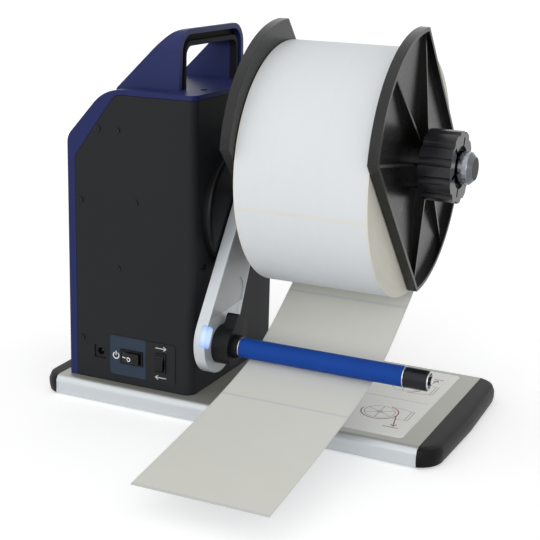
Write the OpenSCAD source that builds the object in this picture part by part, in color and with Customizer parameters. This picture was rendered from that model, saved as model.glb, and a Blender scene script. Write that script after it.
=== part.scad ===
// Desktop label rewinder with a motor-driven spindle and a tension arm.
// Millimetres, +Z up, +X along the spindle to its free end, front towards -Y.
// The origin is the middle of the base on the table.

/* [Base] */
// Length of the base extrusion
base_l = 327; // [300:1:400]
// Depth of the base extrusion
base_w = 180; // [170:1:240]
// Height of the base extrusion
base_h = 16; // [14:0.5:24]
// Radius of the extrusion's upper long edges
base_edge_r = 6; // [3:0.5:7]
// Wall of the extrusion's top, bottom and inner webs
base_wall = 2.5; // [2:0.1:3.5]
// Width of the solid rails along the extrusion's long sides
base_rail = 7; // [6:0.5:10]
// Hollow chambers side by side in the extrusion
base_chambers = 5; // [5:1:7]
// Height of the extrusion over the table
base_lift = 0.8; // [0.5:0.1:2]
// Length of an end cap beyond the extrusion
cap_l = 18; // [12:1:30]
// Plan radius of an end cap's corners
cap_corner_r = 22; // [14:1:30]
// Bow of an end cap's middle beyond its corners
cap_bow = 2; // [1:0.5:5]
// Diameter of a rubber foot
foot_d = 18; // [12:1:24]
// Depth of a foot's seat in the underside
foot_seat = 1.2; // [0.8:0.1:1.4]

/* [Housing] */
// Width of the housing along the spindle
housing_x = 118.5; // [112:0.5:140]
// Depth of the housing, front to back
housing_y = 157; // [150:1:170]
// Height of the housing over the base
housing_h = 249.5; // [240:0.5:280]
// Distance of the housing's right face left of the base's middle
housing_right = 37; // [25:1:50]
// Wall of the shell and the cover
wall_t = 2.5; // [2:0.1:3.5]
// Height of the sloped shoulder
shoulder = 41.6; // [30:0.2:55]
// Width of the sloped shoulder
shoulder_w = 36.8; // [30:0.2:50]
// Radius where the shoulder meets the top
shoulder_r = 36; // [20:1:40]
// Radius where the shoulder meets the side
shoulder_low_r = 15; // [8:1:20]
// Radius of the front panel's upper corners
panel_r = 12; // [6:1:16]
// Radius of the shell's upright edges
shell_edge_r = 9; // [4:0.5:12]
// Cover strip beside the front panel
strip_side = 7; // [4.5:0.1:8]
// Cover strip along the shoulder
strip_slope = 12.4; // [8:0.1:14]
// Cover strip over the front panel
strip_top = 4; // [3.6:0.1:6]
// Gap of the seam between cover and shell
seam = 0.3; // [0.2:0.05:0.6]

/* [Handle] */
// Outer width of the handle at its feet
handle_w = 117; // [105:1:130]
// Height of the handle over the housing
handle_h = 48.2; // [42:0.1:52]
// Draw-in of each leg from foot to top
handle_taper = 2.5; // [0:0.5:4]
// Thickness of the legs and the bar
handle_t = 14; // [11:0.5:17]
// Radius where the handle's slope meets its top
handle_bar_r = 17.5; // [8:0.5:18]
// Reach of the handle's toes down the shoulder
handle_toe = 3; // [1:0.5:5]
// Outer corner radius of the arch
handle_r = 18; // [15:0.5:22]
// Width of a leg's foot along the spindle
handle_foot = 56.5; // [54:0.5:66]
// Distance of the handle's open face from the housing's right face
handle_in = 25; // [18:0.5:34]
// Blue rim round the handle's channel
handle_rim = 4.5; // [3:0.5:6]
// Depth of the channel in the handle's open face
channel_depth = 7; // [4:0.5:9]
// Width of the liner's lip round the opening
liner_lip = 4; // [2.5:0.5:5]

/* [Panel] */
// Power switch plate width
plate_w = 34.8; // [32:0.2:35]
// Power switch plate height
plate_h = 34.5; // [30:0.5:38]
// Direction switch plate width
plate2_w = 27.8; // [24:0.2:27.8]
// Distance of the power switch plate's middle from the housing's right face
plate_in = 60.8; // [60:0.1:64]
// Distance of the direction switch plate's middle from the housing's right face
plate2_in = 29.2; // [27:0.1:29.2]
// Thickness of the switch plates
plate_t = 0.8; // [0.5:0.1:1.2]
// Power rocker length
power_l = 17.5; // [14:0.5:19]
// Power rocker width
power_w = 9.4; // [7:0.2:11]
// Direction rocker length
direction_l = 13; // [11:0.5:15]
// Direction rocker width
direction_w = 6.6; // [5:0.2:8]
// Angle that a rocker turns between its two ends
rocker_swing = 16; // [10:1:20]
// Distance of the power switch from the housing's right face
power_in = 57; // [56:0.1:60]
// Distance of the direction switch from the housing's right face
direction_in = 28.9; // [27:0.1:30]
// Distance of the inlet from the housing's right face
inlet_in = 88.7; // [84:0.1:94]
// Height of the switches over the base
panel_up = 24.7; // [20:0.1:40]
// Side of the square inlet
inlet_side = 11; // [10:0.1:13]
// Bore of the inlet
inlet_d = 6.4; // [5.5:0.1:7]
// Contact pin of the inlet
inlet_pin_d = 2; // [1.6:0.1:2.5]
// Diameter of a panel screw's head
screw_head_d = 5; // [4:0.1:6]
// Diameter of a panel screw's shank
screw_d = 2.9; // [2.4:0.1:3.5]

/* [Spindle] */
// Height of the spindle over the base
spindle_up = 201.2; // [190:0.1:215]
// Diameter of the spindle outside the housing
spindle_d = 26; // [22:0.5:28]
// Diameter of the spindle in its bearings
journal_d = 17; // [12:0.5:20]
// Reach of the spindle's tip from the housing
spindle_reach = 206; // [204:0.5:230]
// Chamfer of the spindle's nose
nose_chamfer = 4; // [2:0.5:6]
// Outer diameter of a spindle bearing
bearing_od = 35; // [30:1:40]
// Width of a spindle bearing
bearing_w = 10; // [8:1:12]
// Flange radius
flange_r = 106.5; // [95:0.5:112]
// Distance of a flange's flats from its middle
flange_flat = 69; // [60:0.5:80]
// Turn of the flats from the upright
flange_turn = 48; // [0:1:90]
// Flange plate thickness
flange_plate = 2.5; // [2:0.1:3.5]
// Height of the flange's rim
flange_rim_h = 8.2; // [6:0.1:10]
// Thickness of the flange's rim
flange_rim_t = 3; // [2:0.1:4]
// Radius of the flange's hub
flange_hub_r = 20; // [17:0.5:22]
// Height of the flange's hub and of the ribs beside it
flange_hub_h = 12.4; // [11:0.1:14]
// Thickness of a rib
rib_t = 2.2; // [1.6:0.1:3]
// Distance of the roll from the housing
roll_in = 45; // [42:0.5:52]
// Knob radius
knob_r = 28.5; // [25:0.5:32]
// Knob length
knob_l = 26; // [20:0.5:27]
// Flutes round the knob
knob_flutes = 12; // [8:1:16]

/* [Roll] */
// Width of the label web
web_w = 107; // [90:1:108]
// Width of the wound roll
roll_w = 109.7; // [100:0.1:109.8]
// Diameter of the wound roll
roll_d = 198.2; // [160:0.2:210]
// Bore of the roll's core
core_bore = 76.2; // [70:0.1:80]
// Wall of the roll's core
core_wall = 3.4; // [2:0.1:6]
// Diameter of the hub that the core hangs on
hub_d = 56.4; // [50:0.1:60]
// Thickness of the label web
web_t = 0.4; // [0.3:0.05:0.8]
// Angle of the web where it leaves the roll
web_leave = 34.8; // [30:0.1:38]
// Angle of the web under the roller
web_under = 16; // [12:0.5:20]
// Reach of the web's end in front of the roller
web_reach = 188; // [120:1:200]
// Drop of the web's end below the roller's underside
web_drop = 34; // [28:0.5:36]

/* [Tension arm] */
// Distance of the arm's pivot in front of the spindle
pivot_front = 14; // [10:0.5:20]
// Distance of the arm's pivot below the spindle
pivot_drop = 52; // [50:0.5:56]
// Radius of the raised boss
boss_r = 50; // [44:0.5:52]
// Height of the raised boss
boss_h = 8; // [5:0.5:9]
// Gap between boss and arm
arm_gap = 1; // [0.5:0.1:1.5]
// Thickness of the arm
arm_t = 10; // [8:0.5:11]
// Distance of the roller in front of the spindle
roller_front = 65; // [60:0.5:68]
// Distance of the roller below the spindle
roller_drop = 155; // [150:0.5:158]
// Radius of the arm's lower end
arm_low_r = 28.5; // [24:0.5:29]
// Radius of the arm's upper end
arm_top_r = 18.5; // [17:0.5:20]
// Depth of the arm's cover plate
arm_cover_t = 1.6; // [1:0.1:2.5]
// Diameter of the arm's shaft
arm_shaft_d = 10; // [8:0.5:12]
// Swing of the arm, forwards and up
arm_swing = 35; // [20:1:40]
// Radius of the collar
collar_r = 16; // [14:0.1:17]
// Reach of the collar's lobe
lobe_r = 24.9; // [22:0.1:26]
// Thickness of the collar's lobe
lobe_t = 10.2; // [8:0.1:12]
// Thickness of the collar
collar_t = 14.6; // [13:0.1:16]
// Length of the collar's spigot that keeps the roller off it
spigot_l = 4.6; // [3:0.1:6]
// Diameter of the roller
roller_d = 16.4; // [14:0.1:17]
// Length of the roller's sleeve
roller_l = 140; // [120:1:145]
// Diameter of the roller's tube
roller_tube_d = 12; // [10.5:0.1:13]
// Diameter of the roller's shaft
roller_shaft_d = 8; // [6:0.1:9]
// Length of the stop at the roller's free end
end_stop_l = 18.5; // [14:0.5:26]
// Thickness of a steel ring
ring_t = 0.9; // [0.6:0.1:1.5]

/* [Drive] */
// Distance of the frame plate from the housing's right face
frame_in = 31; // [30:0.5:34]
// Thickness of the frame plate
frame_t = 3; // [2:0.1:4]
// Width of the frame plate
frame_w = 112; // [108:1:118]
// Height of the frame plate
frame_h = 236; // [230:1:240]
// Length of the frame's foot
frame_foot = 33; // [28:1:40]
// Length of the bearing housing
bearing_housing_l = 56; // [40:1:60]
// Working radius of the driven pulley
driven_r = 30; // [26:0.5:34]
// Working radius of the motor's pulley
motor_r = 7.5; // [6:0.5:10]
// Width of the belt
belt_w = 10; // [8:0.5:12]
// Thickness of the belt
belt_t = 1.6; // [1.2:0.1:2.2]
// Distance of the motor behind the spindle
motor_behind = 34; // [30:1:36]
// Distance of the motor below the spindle
motor_drop = 92; // [88:1:96]
// Diameter of the motor
motor_d = 38; // [34:1:40]
// Length of the motor
motor_l = 52; // [40:1:60]
// Diameter of the motor's shaft
motor_shaft_d = 6; // [5:0.5:8]
// Width of the control board
board_w = 90; // [70:1:100]
// Height of the control board
board_h = 50; // [40:1:56]
// Height of the control board's lower edge over the base
board_up = 26; // [20:1:28]
// Length of a standoff
standoff_l = 8; // [6:0.5:12]
// Diameter of the arm's angle sensor
sensor_d = 20; // [16:0.5:22]

/* [Fits] */
// Radial clearance of a turning shaft
run = 0.05; // [0.02:0.01:0.1]
// Clearance between pieces that move past each other
clear = 0.3; // [0.25:0.05:0.5]
// Clearance of a piece that is set into another
set_fit = 0.1; // [0.05:0.01:0.15]

/* [Hidden] */
$fn = 48;
eps = 1;

// Housing corners
base_top = base_lift + base_h;
right_x = -housing_right;
left_x = right_x - housing_x;
front_y = -housing_y / 2;
top_z = base_top + housing_h;

// Spindle, roll and arm axes as [y, z]
spindle = [0, base_top + spindle_up];
roll_sag = (core_bore - hub_d) / 2 - clear;
roll = spindle - [0, roll_sag];
pivot = spindle - [pivot_front, pivot_drop];
roller = spindle - [roller_front, roller_drop];
motor = spindle + [motor_behind, -motor_drop];

// Places along the spindle
frame_x = right_x - frame_in - frame_t;
belt_x = (right_x - wall_t + right_x - frame_in) / 2;
arm_x = right_x + boss_h + arm_gap;
arm_face_x = arm_x + arm_t;
collar_face_x = arm_face_x + collar_t;
roller_x = collar_face_x + spigot_l + clear + ring_t;
stop_x = roller_x + roller_l + ring_t + clear;
roll_x = right_x + roll_in;
outer_x = roll_x + roll_w + 2 * clear;
knob_x = outer_x + flange_hub_h + clear;
step_x = right_x - wall_t - 5;

// Rocker sizes
rocker_rise = 1.1;
rocker_ridge = 2.6;
rocker_sink = 4;
rocker_pivot = -2;
rocker_pin_d = 2.4;
bezel_rim = 1.4;
bezel_proud = 1;
switch_depth = 14;

screw_head_h = 1;
screw_l = 8;
bolt_l = 6;
bolt_d = 4;
bolt_head_d = 7;
bolt_head_h = 3;
plate_r = 3;
roller_pivot_len = norm(roller - pivot);
arm_dir = (pivot - roller) / roller_pivot_len;
arm_side = [-arm_dir.y, arm_dir.x];
arm_low = roller + arm_dir * 4 + arm_side;
arm_top = pivot - arm_side * 4.5;

// Screws on the front and the back wall, as [x, z]
panel_screw_at = [
    [left_x + 29.5, top_z - 33],
    [left_x + 48, top_z - 33],
    [left_x + 12, base_top + 155.5],
    [right_x - 53.5, base_top + 158.5],
    [right_x - 70.5, base_top + 101],
    [left_x + 12, base_top + 34.7]
];
frame_bolt_at = [for (s = [-1, 1]) [right_x - frame_in - frame_t - frame_foot / 2, s * frame_w / 3]];
cover_screw_at = [for (s = [-1, 1]) [right_x - handle_in / 2, s * handle_w / 3]];
side_screw_at = [for (s = [-1, 1]) pivot + [s * (boss_r - 5), -boss_r + 8]];

// Angle between two directions, from -180 to 180
function turn(a0, a1) = ((a1 - a0 + 540) % 360) - 180;

// Unit vector at an angle
function dir(a) = [cos(a), sin(a)];

// Points of a fillet of radius r at corner q between p and s
function fillet(p, q, s, r, n) =
    let (u = (p - q) / norm(p - q), v = (s - q) / norm(s - q),
         half = acos(u * v) / 2, c = q + (u + v) / norm(u + v) * r / sin(half),
         a = q + u * r / tan(half) - c, b = q + v * r / tan(half) - c,
         a0 = atan2(a.y, a.x), d = turn(a0, atan2(b.y, b.x)))
    [for (i = [0:n]) c + r * [cos(a0 + d * i / n), sin(a0 + d * i / n)]];

// Outline with its corners rounded to the radii given
function rounded(pts, radii, n = 8) =
    let (m = len(pts))
    [for (i = [0:m - 1])
        each radii[i] > 0
            ? fillet(pts[(i + m - 1) % m], pts[i], pts[(i + 1) % m], radii[i], n)
            : [pts[i]]];

function box_pts(w, h) = [[-w / 2, -h / 2], [w / 2, -h / 2], [w / 2, h / 2], [-w / 2, h / 2]];
function rounded_box(w, h, r) = rounded(box_pts(w, h), [r, r, r, r]);

// Housing outline seen from the front, drawn in by the three strip widths, its slope steeper by lean
function side_outline(side, slope, top, low_r, top_r, lean = 0, reach = 0) =
    let (a = atan2(shoulder, shoulder_w),
         p = [left_x + shoulder_w / 2, top_z - shoulder / 2] + slope * [sin(a), -cos(a)],
         rise = tan(a + lean))
    rounded([
        [left_x + side, base_top - reach],
        [left_x + side, p.y + (left_x + side - p.x) * rise],
        [p.x + (top_z - top - p.y) / rise, top_z - top],
        [right_x + reach, top_z - top],
        [right_x + reach, base_top - reach]
    ], [0, low_r, top_r, 0, 0], 12);

// Outer side of the housing, and the opening of the front and the back panel
panel_lean = 5.5;
function outer_outline(e) = side_outline(e, e, e, shoulder_low_r - e, shoulder_r - e);
function panel_outline(e, reach = 0) =
    side_outline(strip_side + e, strip_slope + e, strip_top + e, panel_r, panel_r, panel_lean, reach);

// Handle arch seen along the spindle, drawn in by e, its feet sunk below the housing's top
foot_sink = 14;
function arch_outline(e) =
    rounded([
        [-handle_w / 2 + e, -foot_sink],
        [handle_w / 2 - e, -foot_sink],
        [handle_w / 2 - handle_taper - e, handle_h - e],
        [-handle_w / 2 + handle_taper + e, handle_h - e]
    ], [0, 0, max(handle_r - e, 4), max(handle_r - e, 4)]);

// Cubic curve through two ends with two handles
function bezier(a, b, c, d, t) =
    pow(1 - t, 3) * a + 3 * t * pow(1 - t, 2) * b + 3 * t * t * (1 - t) * c + pow(t, 3) * d;

// Web route in [y, z]: off the roll, under the roller and out to the front
web_steps = 12;
web_off = [sin(web_leave), -cos(web_leave)];
web_dir = [-cos(web_leave), -sin(web_leave)];
web_start = roll + (roll_d / 2 + clear + web_t / 2) * web_off;
under_off = [sin(web_under), -cos(web_under)];
under_dir = [-cos(web_under), -sin(web_under)];
web_mid = roller + (roller_d / 2 + clear + web_t / 2) * under_off;
web_span = norm(web_start - web_mid);
web_end = roller + [-web_reach, -roller_d / 2 - web_drop];
web_end_dir = [-1, -0.14] / norm([-1, -0.14]);
web_path = concat(
    [for (i = [0:web_steps - 1])
        bezier(web_start, web_start + web_dir * web_span / 2,
               web_mid - under_dir * web_span / 5, web_mid, i / web_steps)],
    [for (i = [0:web_steps])
        bezier(web_mid, web_mid + under_dir * web_reach / 3,
               web_end - web_end_dir * web_reach / 3, web_end, i / web_steps)]
);

// Places an outline of [y, z] as a slab from x0, h thick along the spindle
module slab_x(x0, h) {
    translate([x0, 0, 0]) rotate([90, 0, 90]) linear_extrude(h) children();
}

// Places an outline of [x, z] as a slab h thick, centred on y
module slab_y(y, h) {
    translate([0, y, 0]) rotate([90, 0, 0]) linear_extrude(h, center = true) children();
}

// Round bar or bore along the spindle, about axis at = [y, z]
module bar_x(at, r, x0, x1) {
    translate([x0, at.x, at.y]) rotate([0, 90, 0]) cylinder(r = r, h = x1 - x0);
}

// Body of revolution along the spindle from a profile of [r, x]
module turned_x(at, profile) {
    translate([0, at.x, at.y]) rotate([0, 90, 0]) rotate_extrude() polygon(profile);
}

// Tube along the spindle
module tube_x(at, r_out, r_in, x0, x1) {
    turned_x(at, [[r_in, x0], [r_out, x0], [r_out, x1], [r_in, x1]]);
}

// Outline of a straight-sided link between two circles
function link_pts(p, rp, q, rq, n = 24) =
    let (d = q - p, lean = atan2(d.y, d.x), open = acos((rp - rq) / norm(d)))
    concat(
        [for (i = [0:n]) p + rp * dir(lean + open + (360 - 2 * open) * i / n)],
        [for (i = [0:n]) q + rq * dir(lean - open + 2 * open * i / n)]
    );

module link(p, rp, q, rq) {
    polygon(link_pts(p, rp, q, rq));
}

// Hollow aluminium extrusion
module base_plate() {
    chamber_w = (base_w - 2 * base_rail - (base_chambers - 1) * base_wall) / base_chambers;
    chamber_h = base_h - 2 * base_wall;
    pitch = chamber_w + base_wall;
    first = -(base_chambers - 1) * pitch / 2;
    edge_r = min(base_edge_r, base_h / 2 - 1);
    color("silver") difference() {
        slab_x(-base_l / 2, base_l)
            translate([0, base_lift + base_h / 2]) difference() {
                polygon(rounded(box_pts(base_w, base_h), [1.5, 1.5, edge_r, edge_r]));
                for (i = [0:base_chambers - 1])
                    translate([first + i * pitch, 0]) polygon(rounded_box(chamber_w, chamber_h, 1));
            }
        feet_at() cylinder(d = foot_d + 2 * set_fit, h = base_lift + foot_seat);
        for (p = frame_bolt_at)
            translate([p.x, p.y, base_top - base_wall - eps])
                cylinder(d = bolt_d + 2 * set_fit, h = base_wall + 2 * eps);
    }
}

// Places one child at each foot: the four corners and the middle
module feet_at() {
    for (sx = [-1, 1], sy = [-1, 1])
        translate([sx * (base_l / 2 - foot_d), sy * (base_w / 2 - foot_d), 0]) children();
    children();
}

// Moulded end cap in its own frame, joint plane at x = 0
module cap_form() {
    e = min(base_edge_r, base_h / 2 - 1);
    cap_h = base_h + base_lift - 0.3;
    cap_w = base_w + 4;
    rim = [
        [cap_corner_r - e, 0], [cap_corner_r - 1, 1], [cap_corner_r, cap_h / 3],
        [cap_corner_r, cap_h - e], [cap_corner_r - e * 0.3, cap_h - e * 0.3], [cap_corner_r - e, cap_h]
    ];
    y = cap_w / 2 - cap_corner_r;
    x = cap_l - cap_bow - cap_corner_r;
    profile = concat([[0, 0]], rim, [[0, cap_h]]);
    translate([0, 0, 0.3]) intersection() {
        hull() for (p = [[x, -y], [x + cap_bow, 0], [x, y]])
            translate(p) rotate_extrude($fn = 32) polygon(profile);
        translate([0, -base_w, -eps]) cube([2 * cap_l, 2 * base_w, base_h + 4]);
    }
    tongues();
}

// Tongues that hold a cap in the extrusion's outer chambers
module tongues() {
    chamber_w = (base_w - 2 * base_rail - (base_chambers - 1) * base_wall) / base_chambers;
    chamber_h = base_h - 2 * base_wall;
    tongue_l = 12;
    for (s = [-1, 1])
        translate([-tongue_l / 2 + 0.5, s * (base_w / 2 - base_rail - chamber_w / 2), base_lift + base_h / 2])
            cube([tongue_l + 1, chamber_w - 2.4, chamber_h - 2 * set_fit], center = true);
}

module end_cap_right() {
    color("#1c1d20") translate([base_l / 2, 0, 0]) cap_form();
}

module end_cap_left() {
    color("#1c1d20") mirror([1, 0, 0]) translate([base_l / 2, 0, 0]) cap_form();
}

module rubber_feet() {
    color("#26282a") feet_at() cylinder(d = foot_d, h = base_lift + foot_seat);
}

// Plan outline of the housing, drawn in by e, with its right corners rounded
function plan_outline(x0, e) = rounded([
    [x0, front_y + e], [right_x - e, front_y + e], [right_x - e, -front_y - e], [x0, -front_y - e]
], [0, max(shell_edge_r - e, 1), max(shell_edge_r - e, 1), 0]);

// Charcoal wrap: front, right and back walls
module housing_shell() {
    color("#2b2d31") difference() {
        intersection() {
            translate([0, 0, base_top]) linear_extrude(housing_h) difference() {
                polygon(plan_outline(left_x, 0));
                polygon(plan_outline(left_x - eps, wall_t));
            }
            slab_y(0, housing_y + 2 * eps)
                polygon(panel_outline(seam));
        }
        bar_x(spindle, spindle_d / 2 + 1.5, right_x - wall_t - eps, right_x + eps);
        bar_x(pivot, arm_shaft_d / 2 + 4 + set_fit, right_x - wall_t - eps, right_x + eps);
        panel_cut(power_in, power_l, power_w, false);
        panel_cut(direction_in, direction_l, direction_w, true);
        translate([right_x - inlet_in, front_y, base_top + panel_up])
            cube([inlet_side + 2 * set_fit, 4 * wall_t, inlet_side + 2 * set_fit], center = true);
        for (p = panel_screw_at)
            translate([p.x, 0, p.y]) rotate([90, 0, 0])
                cylinder(d = screw_d + 2 * set_fit, h = housing_y + 2 * eps, center = true);
        for (p = side_screw_at)
            bar_x(p, screw_d / 2 + set_fit, right_x - wall_t - eps, right_x + eps);
    }
}

// Inner length of a switch body that a rocker of length l swings in
function rocker_bay(l) =
    l * cos(rocker_swing / 2) + 2 * (rocker_rise - rocker_pivot) * sin(rocker_swing / 2) + 2 * clear;

// Opening in the front wall for a switch body
module panel_cut(in, l, w, upright) {
    bay = rocker_bay(l) + 2 * bezel_rim + 2 * set_fit;
    across = w + 2 * clear + 2 * bezel_rim + 2 * set_fit;
    translate([right_x - in, front_y, base_top + panel_up])
        cube([upright ? across : bay, 4 * wall_t, upright ? bay : across], center = true);
}

// Navy left side, shoulder and top, with strips round the front and back panels
module housing_cover() {
    color("#232c5c") difference() {
        intersection() {
            union() {
                slab_y(0, housing_y) difference() {
                    polygon(outer_outline(0));
                    polygon(side_outline(
                        wall_t, wall_t, wall_t, shoulder_low_r - wall_t, shoulder_r - wall_t, 0, eps
                    ));
                }
                for (s = [-1, 1])
                    slab_y(s * (housing_y - wall_t) / 2, wall_t) difference() {
                        polygon(outer_outline(0));
                        polygon(panel_outline(0, eps));
                    }
                translate([right_x - wall_t, front_y, top_z - strip_top])
                    cube([wall_t, housing_y, strip_top]);
            }
            translate([0, 0, base_top]) linear_extrude(housing_h) polygon(plan_outline(left_x - eps, 0));
        }
        for (p = cover_screw_at)
            translate([p.x, p.y, top_z - wall_t - eps])
                cylinder(d = screw_d + 2 * set_fit, h = wall_t + 2 * eps);
    }
}

// Open face of the handle
handle_x = right_x - handle_in;

// Opening under the arch
module arch_gap() {
    gap_w = handle_w - 2 * handle_t;
    polygon(rounded([
        [-gap_w / 2, -foot_sink - eps], [gap_w / 2, -foot_sink - eps],
        [gap_w / 2, handle_h - handle_t], [-gap_w / 2, handle_h - handle_t]
    ], [0, 0, 8, 8]));
}

// Arch with a sloped outer side, its toes set on the shoulder
module carry_handle() {
    toe = [handle_x - handle_foot - handle_toe, -handle_toe];
    face_r = 0.8;
    bar_r = min(handle_bar_r, (handle_foot - handle_h - face_r) / tan(22.5) - 0.1);
    color("#232c5c") difference() {
        translate([0, 0, top_z]) difference() {
            intersection() {
                slab_x(toe.x - eps, handle_x - toe.x + eps) difference() {
                    polygon(arch_outline(0));
                    arch_gap();
                }
                slab_y(0, handle_w + 2 * eps) polygon(rounded([
                    toe,
                    toe + [8, -8],
                    [handle_x, -handle_toe - 8],
                    [handle_x, handle_h],
                    [handle_x - handle_foot + handle_h, handle_h]
                ], [2.5, 0, 0, face_r, bar_r]));
            }
            slab_x(handle_x - channel_depth, channel_depth + eps) polygon(arch_outline(handle_rim));
        }
        slab_y(0, housing_y) polygon(side_outline(-set_fit, -set_fit, 0, shoulder_low_r, shoulder_r));
    }
}

// Dark channel floor and lip round the finger opening
module handle_liner() {
    floor_t = 2;
    color("#3a3b3e") translate([0, 0, top_z]) intersection() {
        union() {
            slab_x(handle_x - channel_depth, floor_t) difference() {
                polygon(arch_outline(handle_rim + set_fit));
                arch_gap();
            }
            slab_x(handle_x - channel_depth, channel_depth - 0.5) difference() {
                polygon(arch_outline(handle_t - liner_lip));
                arch_gap();
            }
        }
        translate([handle_x - handle_foot, -handle_w, 0]) cube([handle_foot, 2 * handle_w, handle_h]);
    }
}

// Cross-slotted pan screw, head out along +z, seat at z = 0
module pan_screw() {
    difference() {
        union() {
            cylinder(d = screw_head_d, h = screw_head_h);
            translate([0, 0, -screw_l]) cylinder(d = screw_d, h = screw_l + 0.1);
        }
        for (a = [0, 90])
            rotate([0, 0, a]) translate([0, 0, screw_head_h])
                cube([screw_head_d * 0.6, 0.7, screw_head_h], center = true);
    }
}

module panel_screws() {
    color("#3c3e42") for (p = panel_screw_at, s = [0, 1])
        mirror([0, s, 0]) translate([p.x, front_y, p.y]) rotate([90, 0, 0]) pan_screw();
}

module cover_screws() {
    color("#3c3e42") for (p = cover_screw_at) translate([p.x, p.y, top_z]) pan_screw();
}

module side_screws() {
    color("#3c3e42") for (p = side_screw_at) translate([right_x, p.x, p.y]) rotate([0, 90, 0]) pan_screw();
}

// Thin plate on the front wall with an opening for a switch, its left and right corners rounded
module panel_plate(middle, w, in, l, rw, upright, left_r, right_r) {
    difference() {
        slab_y(front_y - plate_t / 2, plate_t)
            translate([right_x - middle, base_top + panel_up])
                polygon(rounded(box_pts(w, plate_h), [left_r, right_r, right_r, left_r]));
        panel_cut(in, l, rw, upright);
    }
}

module switch_plate() {
    color("#4d5766") panel_plate(plate_in, plate_w, power_in, power_l, power_w, false, plate_r, 0);
}

module direction_plate() {
    color("#1b1c1f") panel_plate(plate2_in, plate2_w, direction_in, direction_l, direction_w, true, 0, plate_r);
}

// Switch body: frame with a bay for the rocker, long side along x, face towards -y
module switch_body(l, w) {
    bay = rocker_bay(l);
    across = w + 2 * clear;
    proud = plate_t + bezel_proud;
    difference() {
        translate([0, (switch_depth - proud) / 2, 0])
            cube([bay + 2 * bezel_rim, switch_depth + proud, across + 2 * bezel_rim], center = true);
        translate([0, (rocker_sink + 2 - proud - eps) / 2, 0])
            cube([bay, rocker_sink + 2 + proud + eps, across], center = true);
        translate([0, -proud - rocker_pivot, 0])
            cylinder(d = rocker_pin_d + 2 * run, h = across + 1.6, center = true);
    }
}

// Rocker with a ridged face and its pivot pin, in the same frame as the switch body
module rocker(l, w) {
    y = -plate_t - bezel_proud;
    translate([0, y - rocker_pivot, 0]) rotate([0, 0, -rocker_swing / 2]) {
        linear_extrude(w, center = true) polygon([
            [-l / 2, -rocker_rise + rocker_pivot], [0, -rocker_ridge + rocker_pivot],
            [l / 2, -rocker_rise + rocker_pivot], [l / 2 - 1.6, rocker_sink + rocker_pivot],
            [-l / 2 + 1.6, rocker_sink + rocker_pivot]
        ]);
        cylinder(d = rocker_pin_d, h = w + 2 * clear + 1.2, center = true);
    }
}

module at_power() {
    translate([right_x - power_in, front_y, base_top + panel_up]) children();
}

module at_direction() {
    translate([right_x - direction_in, front_y, base_top + panel_up]) rotate([0, 90, 0]) children();
}

module power_switch_body() {
    color("#141517") at_power() switch_body(power_l, power_w);
}

module power_rocker() {
    color("#1d1e21") at_power() rocker(power_l, power_w);
}

module direction_switch_body() {
    color("#141517") at_direction() switch_body(direction_l, direction_w);
}

module direction_rocker() {
    color("#1d1e21") at_direction() rocker(direction_l, direction_w);
}

// Low-voltage socket with a contact pin
module dc_inlet() {
    depth = 14;
    bore = 10;
    face = 1.4;
    color("#101113") translate([right_x - inlet_in, front_y + face, base_top + panel_up])
        rotate([-90, 0, 0]) {
            difference() {
                translate([-inlet_side / 2, -inlet_side / 2, 0]) cube([inlet_side, inlet_side, depth]);
                translate([0, 0, -eps]) cylinder(d = inlet_d, h = bore + eps);
            }
            translate([0, 0, 2]) cylinder(d = inlet_pin_d, h = bore - 1);
        }
}

// Bent steel plate that carries the drive
module frame_plate() {
    color("#9aa0a6") difference() {
        union() {
            translate([frame_x, -frame_w / 2, base_top]) cube([frame_t, frame_w, frame_h]);
            translate([frame_x - frame_foot, -frame_w / 2, base_top])
                cube([frame_foot + frame_t, frame_w, frame_t]);
        }
        bar_x(spindle, bearing_od / 2 - 2, frame_x - eps, frame_x + frame_t + eps);
        bar_x(motor, motor_d / 5 + set_fit, frame_x - eps, frame_x + frame_t + eps);
        bar_x(pivot, arm_shaft_d / 2 + 1, frame_x - eps, frame_x + frame_t + eps);
        for (p = frame_bolt_at)
            translate([p.x, p.y, base_top - eps]) cylinder(d = bolt_d + 2 * set_fit, h = frame_t + 2 * eps);
    }
}

module frame_screws() {
    color("#8d9297") for (p = frame_bolt_at) translate([p.x, p.y, base_top + frame_t]) {
        cylinder(d = bolt_head_d, h = bolt_head_h);
        translate([0, 0, -bolt_l]) cylinder(d = bolt_d, h = bolt_l + 0.1);
    }
}

// Turned housing with a bearing seat at each end
module bearing_housing() {
    r = bearing_od / 2 + 6;
    x0 = frame_x - bearing_housing_l;
    seat = bearing_od / 2 + set_fit;
    neck = bearing_od / 2 - 3;
    color("#aeb3b8") turned_x(spindle, [
        [seat, x0], [r, x0], [r, frame_x], [seat, frame_x], [seat, frame_x - bearing_w],
        [neck, frame_x - bearing_w], [neck, x0 + bearing_w], [seat, x0 + bearing_w]
    ]);
}

// Two ball bearings, shown as rings with a groove
module spindle_bearings() {
    r0 = journal_d / 2 + run;
    r1 = bearing_od / 2;
    color("#c3c7cb") for (x = [frame_x - bearing_w, frame_x - bearing_housing_l])
        turned_x(spindle, [
            [r0, x], [r0 + 3, x], [r0 + 3, x + 1], [r1 - 3, x + 1], [r1 - 3, x], [r1, x],
            [r1, x + bearing_w], [r1 - 3, x + bearing_w], [r1 - 3, x + bearing_w - 1],
            [r0 + 3, x + bearing_w - 1], [r0 + 3, x + bearing_w], [r0, x + bearing_w]
        ]);
}

// Stepped spindle with a chamfered nose
module spindle_shaft() {
    tip = right_x + spindle_reach;
    r = spindle_d / 2;
    color("#c9ccd0") turned_x(spindle, [
        [0, frame_x - bearing_housing_l - 4], [journal_d / 2, frame_x - bearing_housing_l - 4],
        [journal_d / 2, step_x], [r, step_x], [r, tip - nose_chamfer],
        [r - nose_chamfer, tip], [0, tip]
    ]);
}

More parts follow.
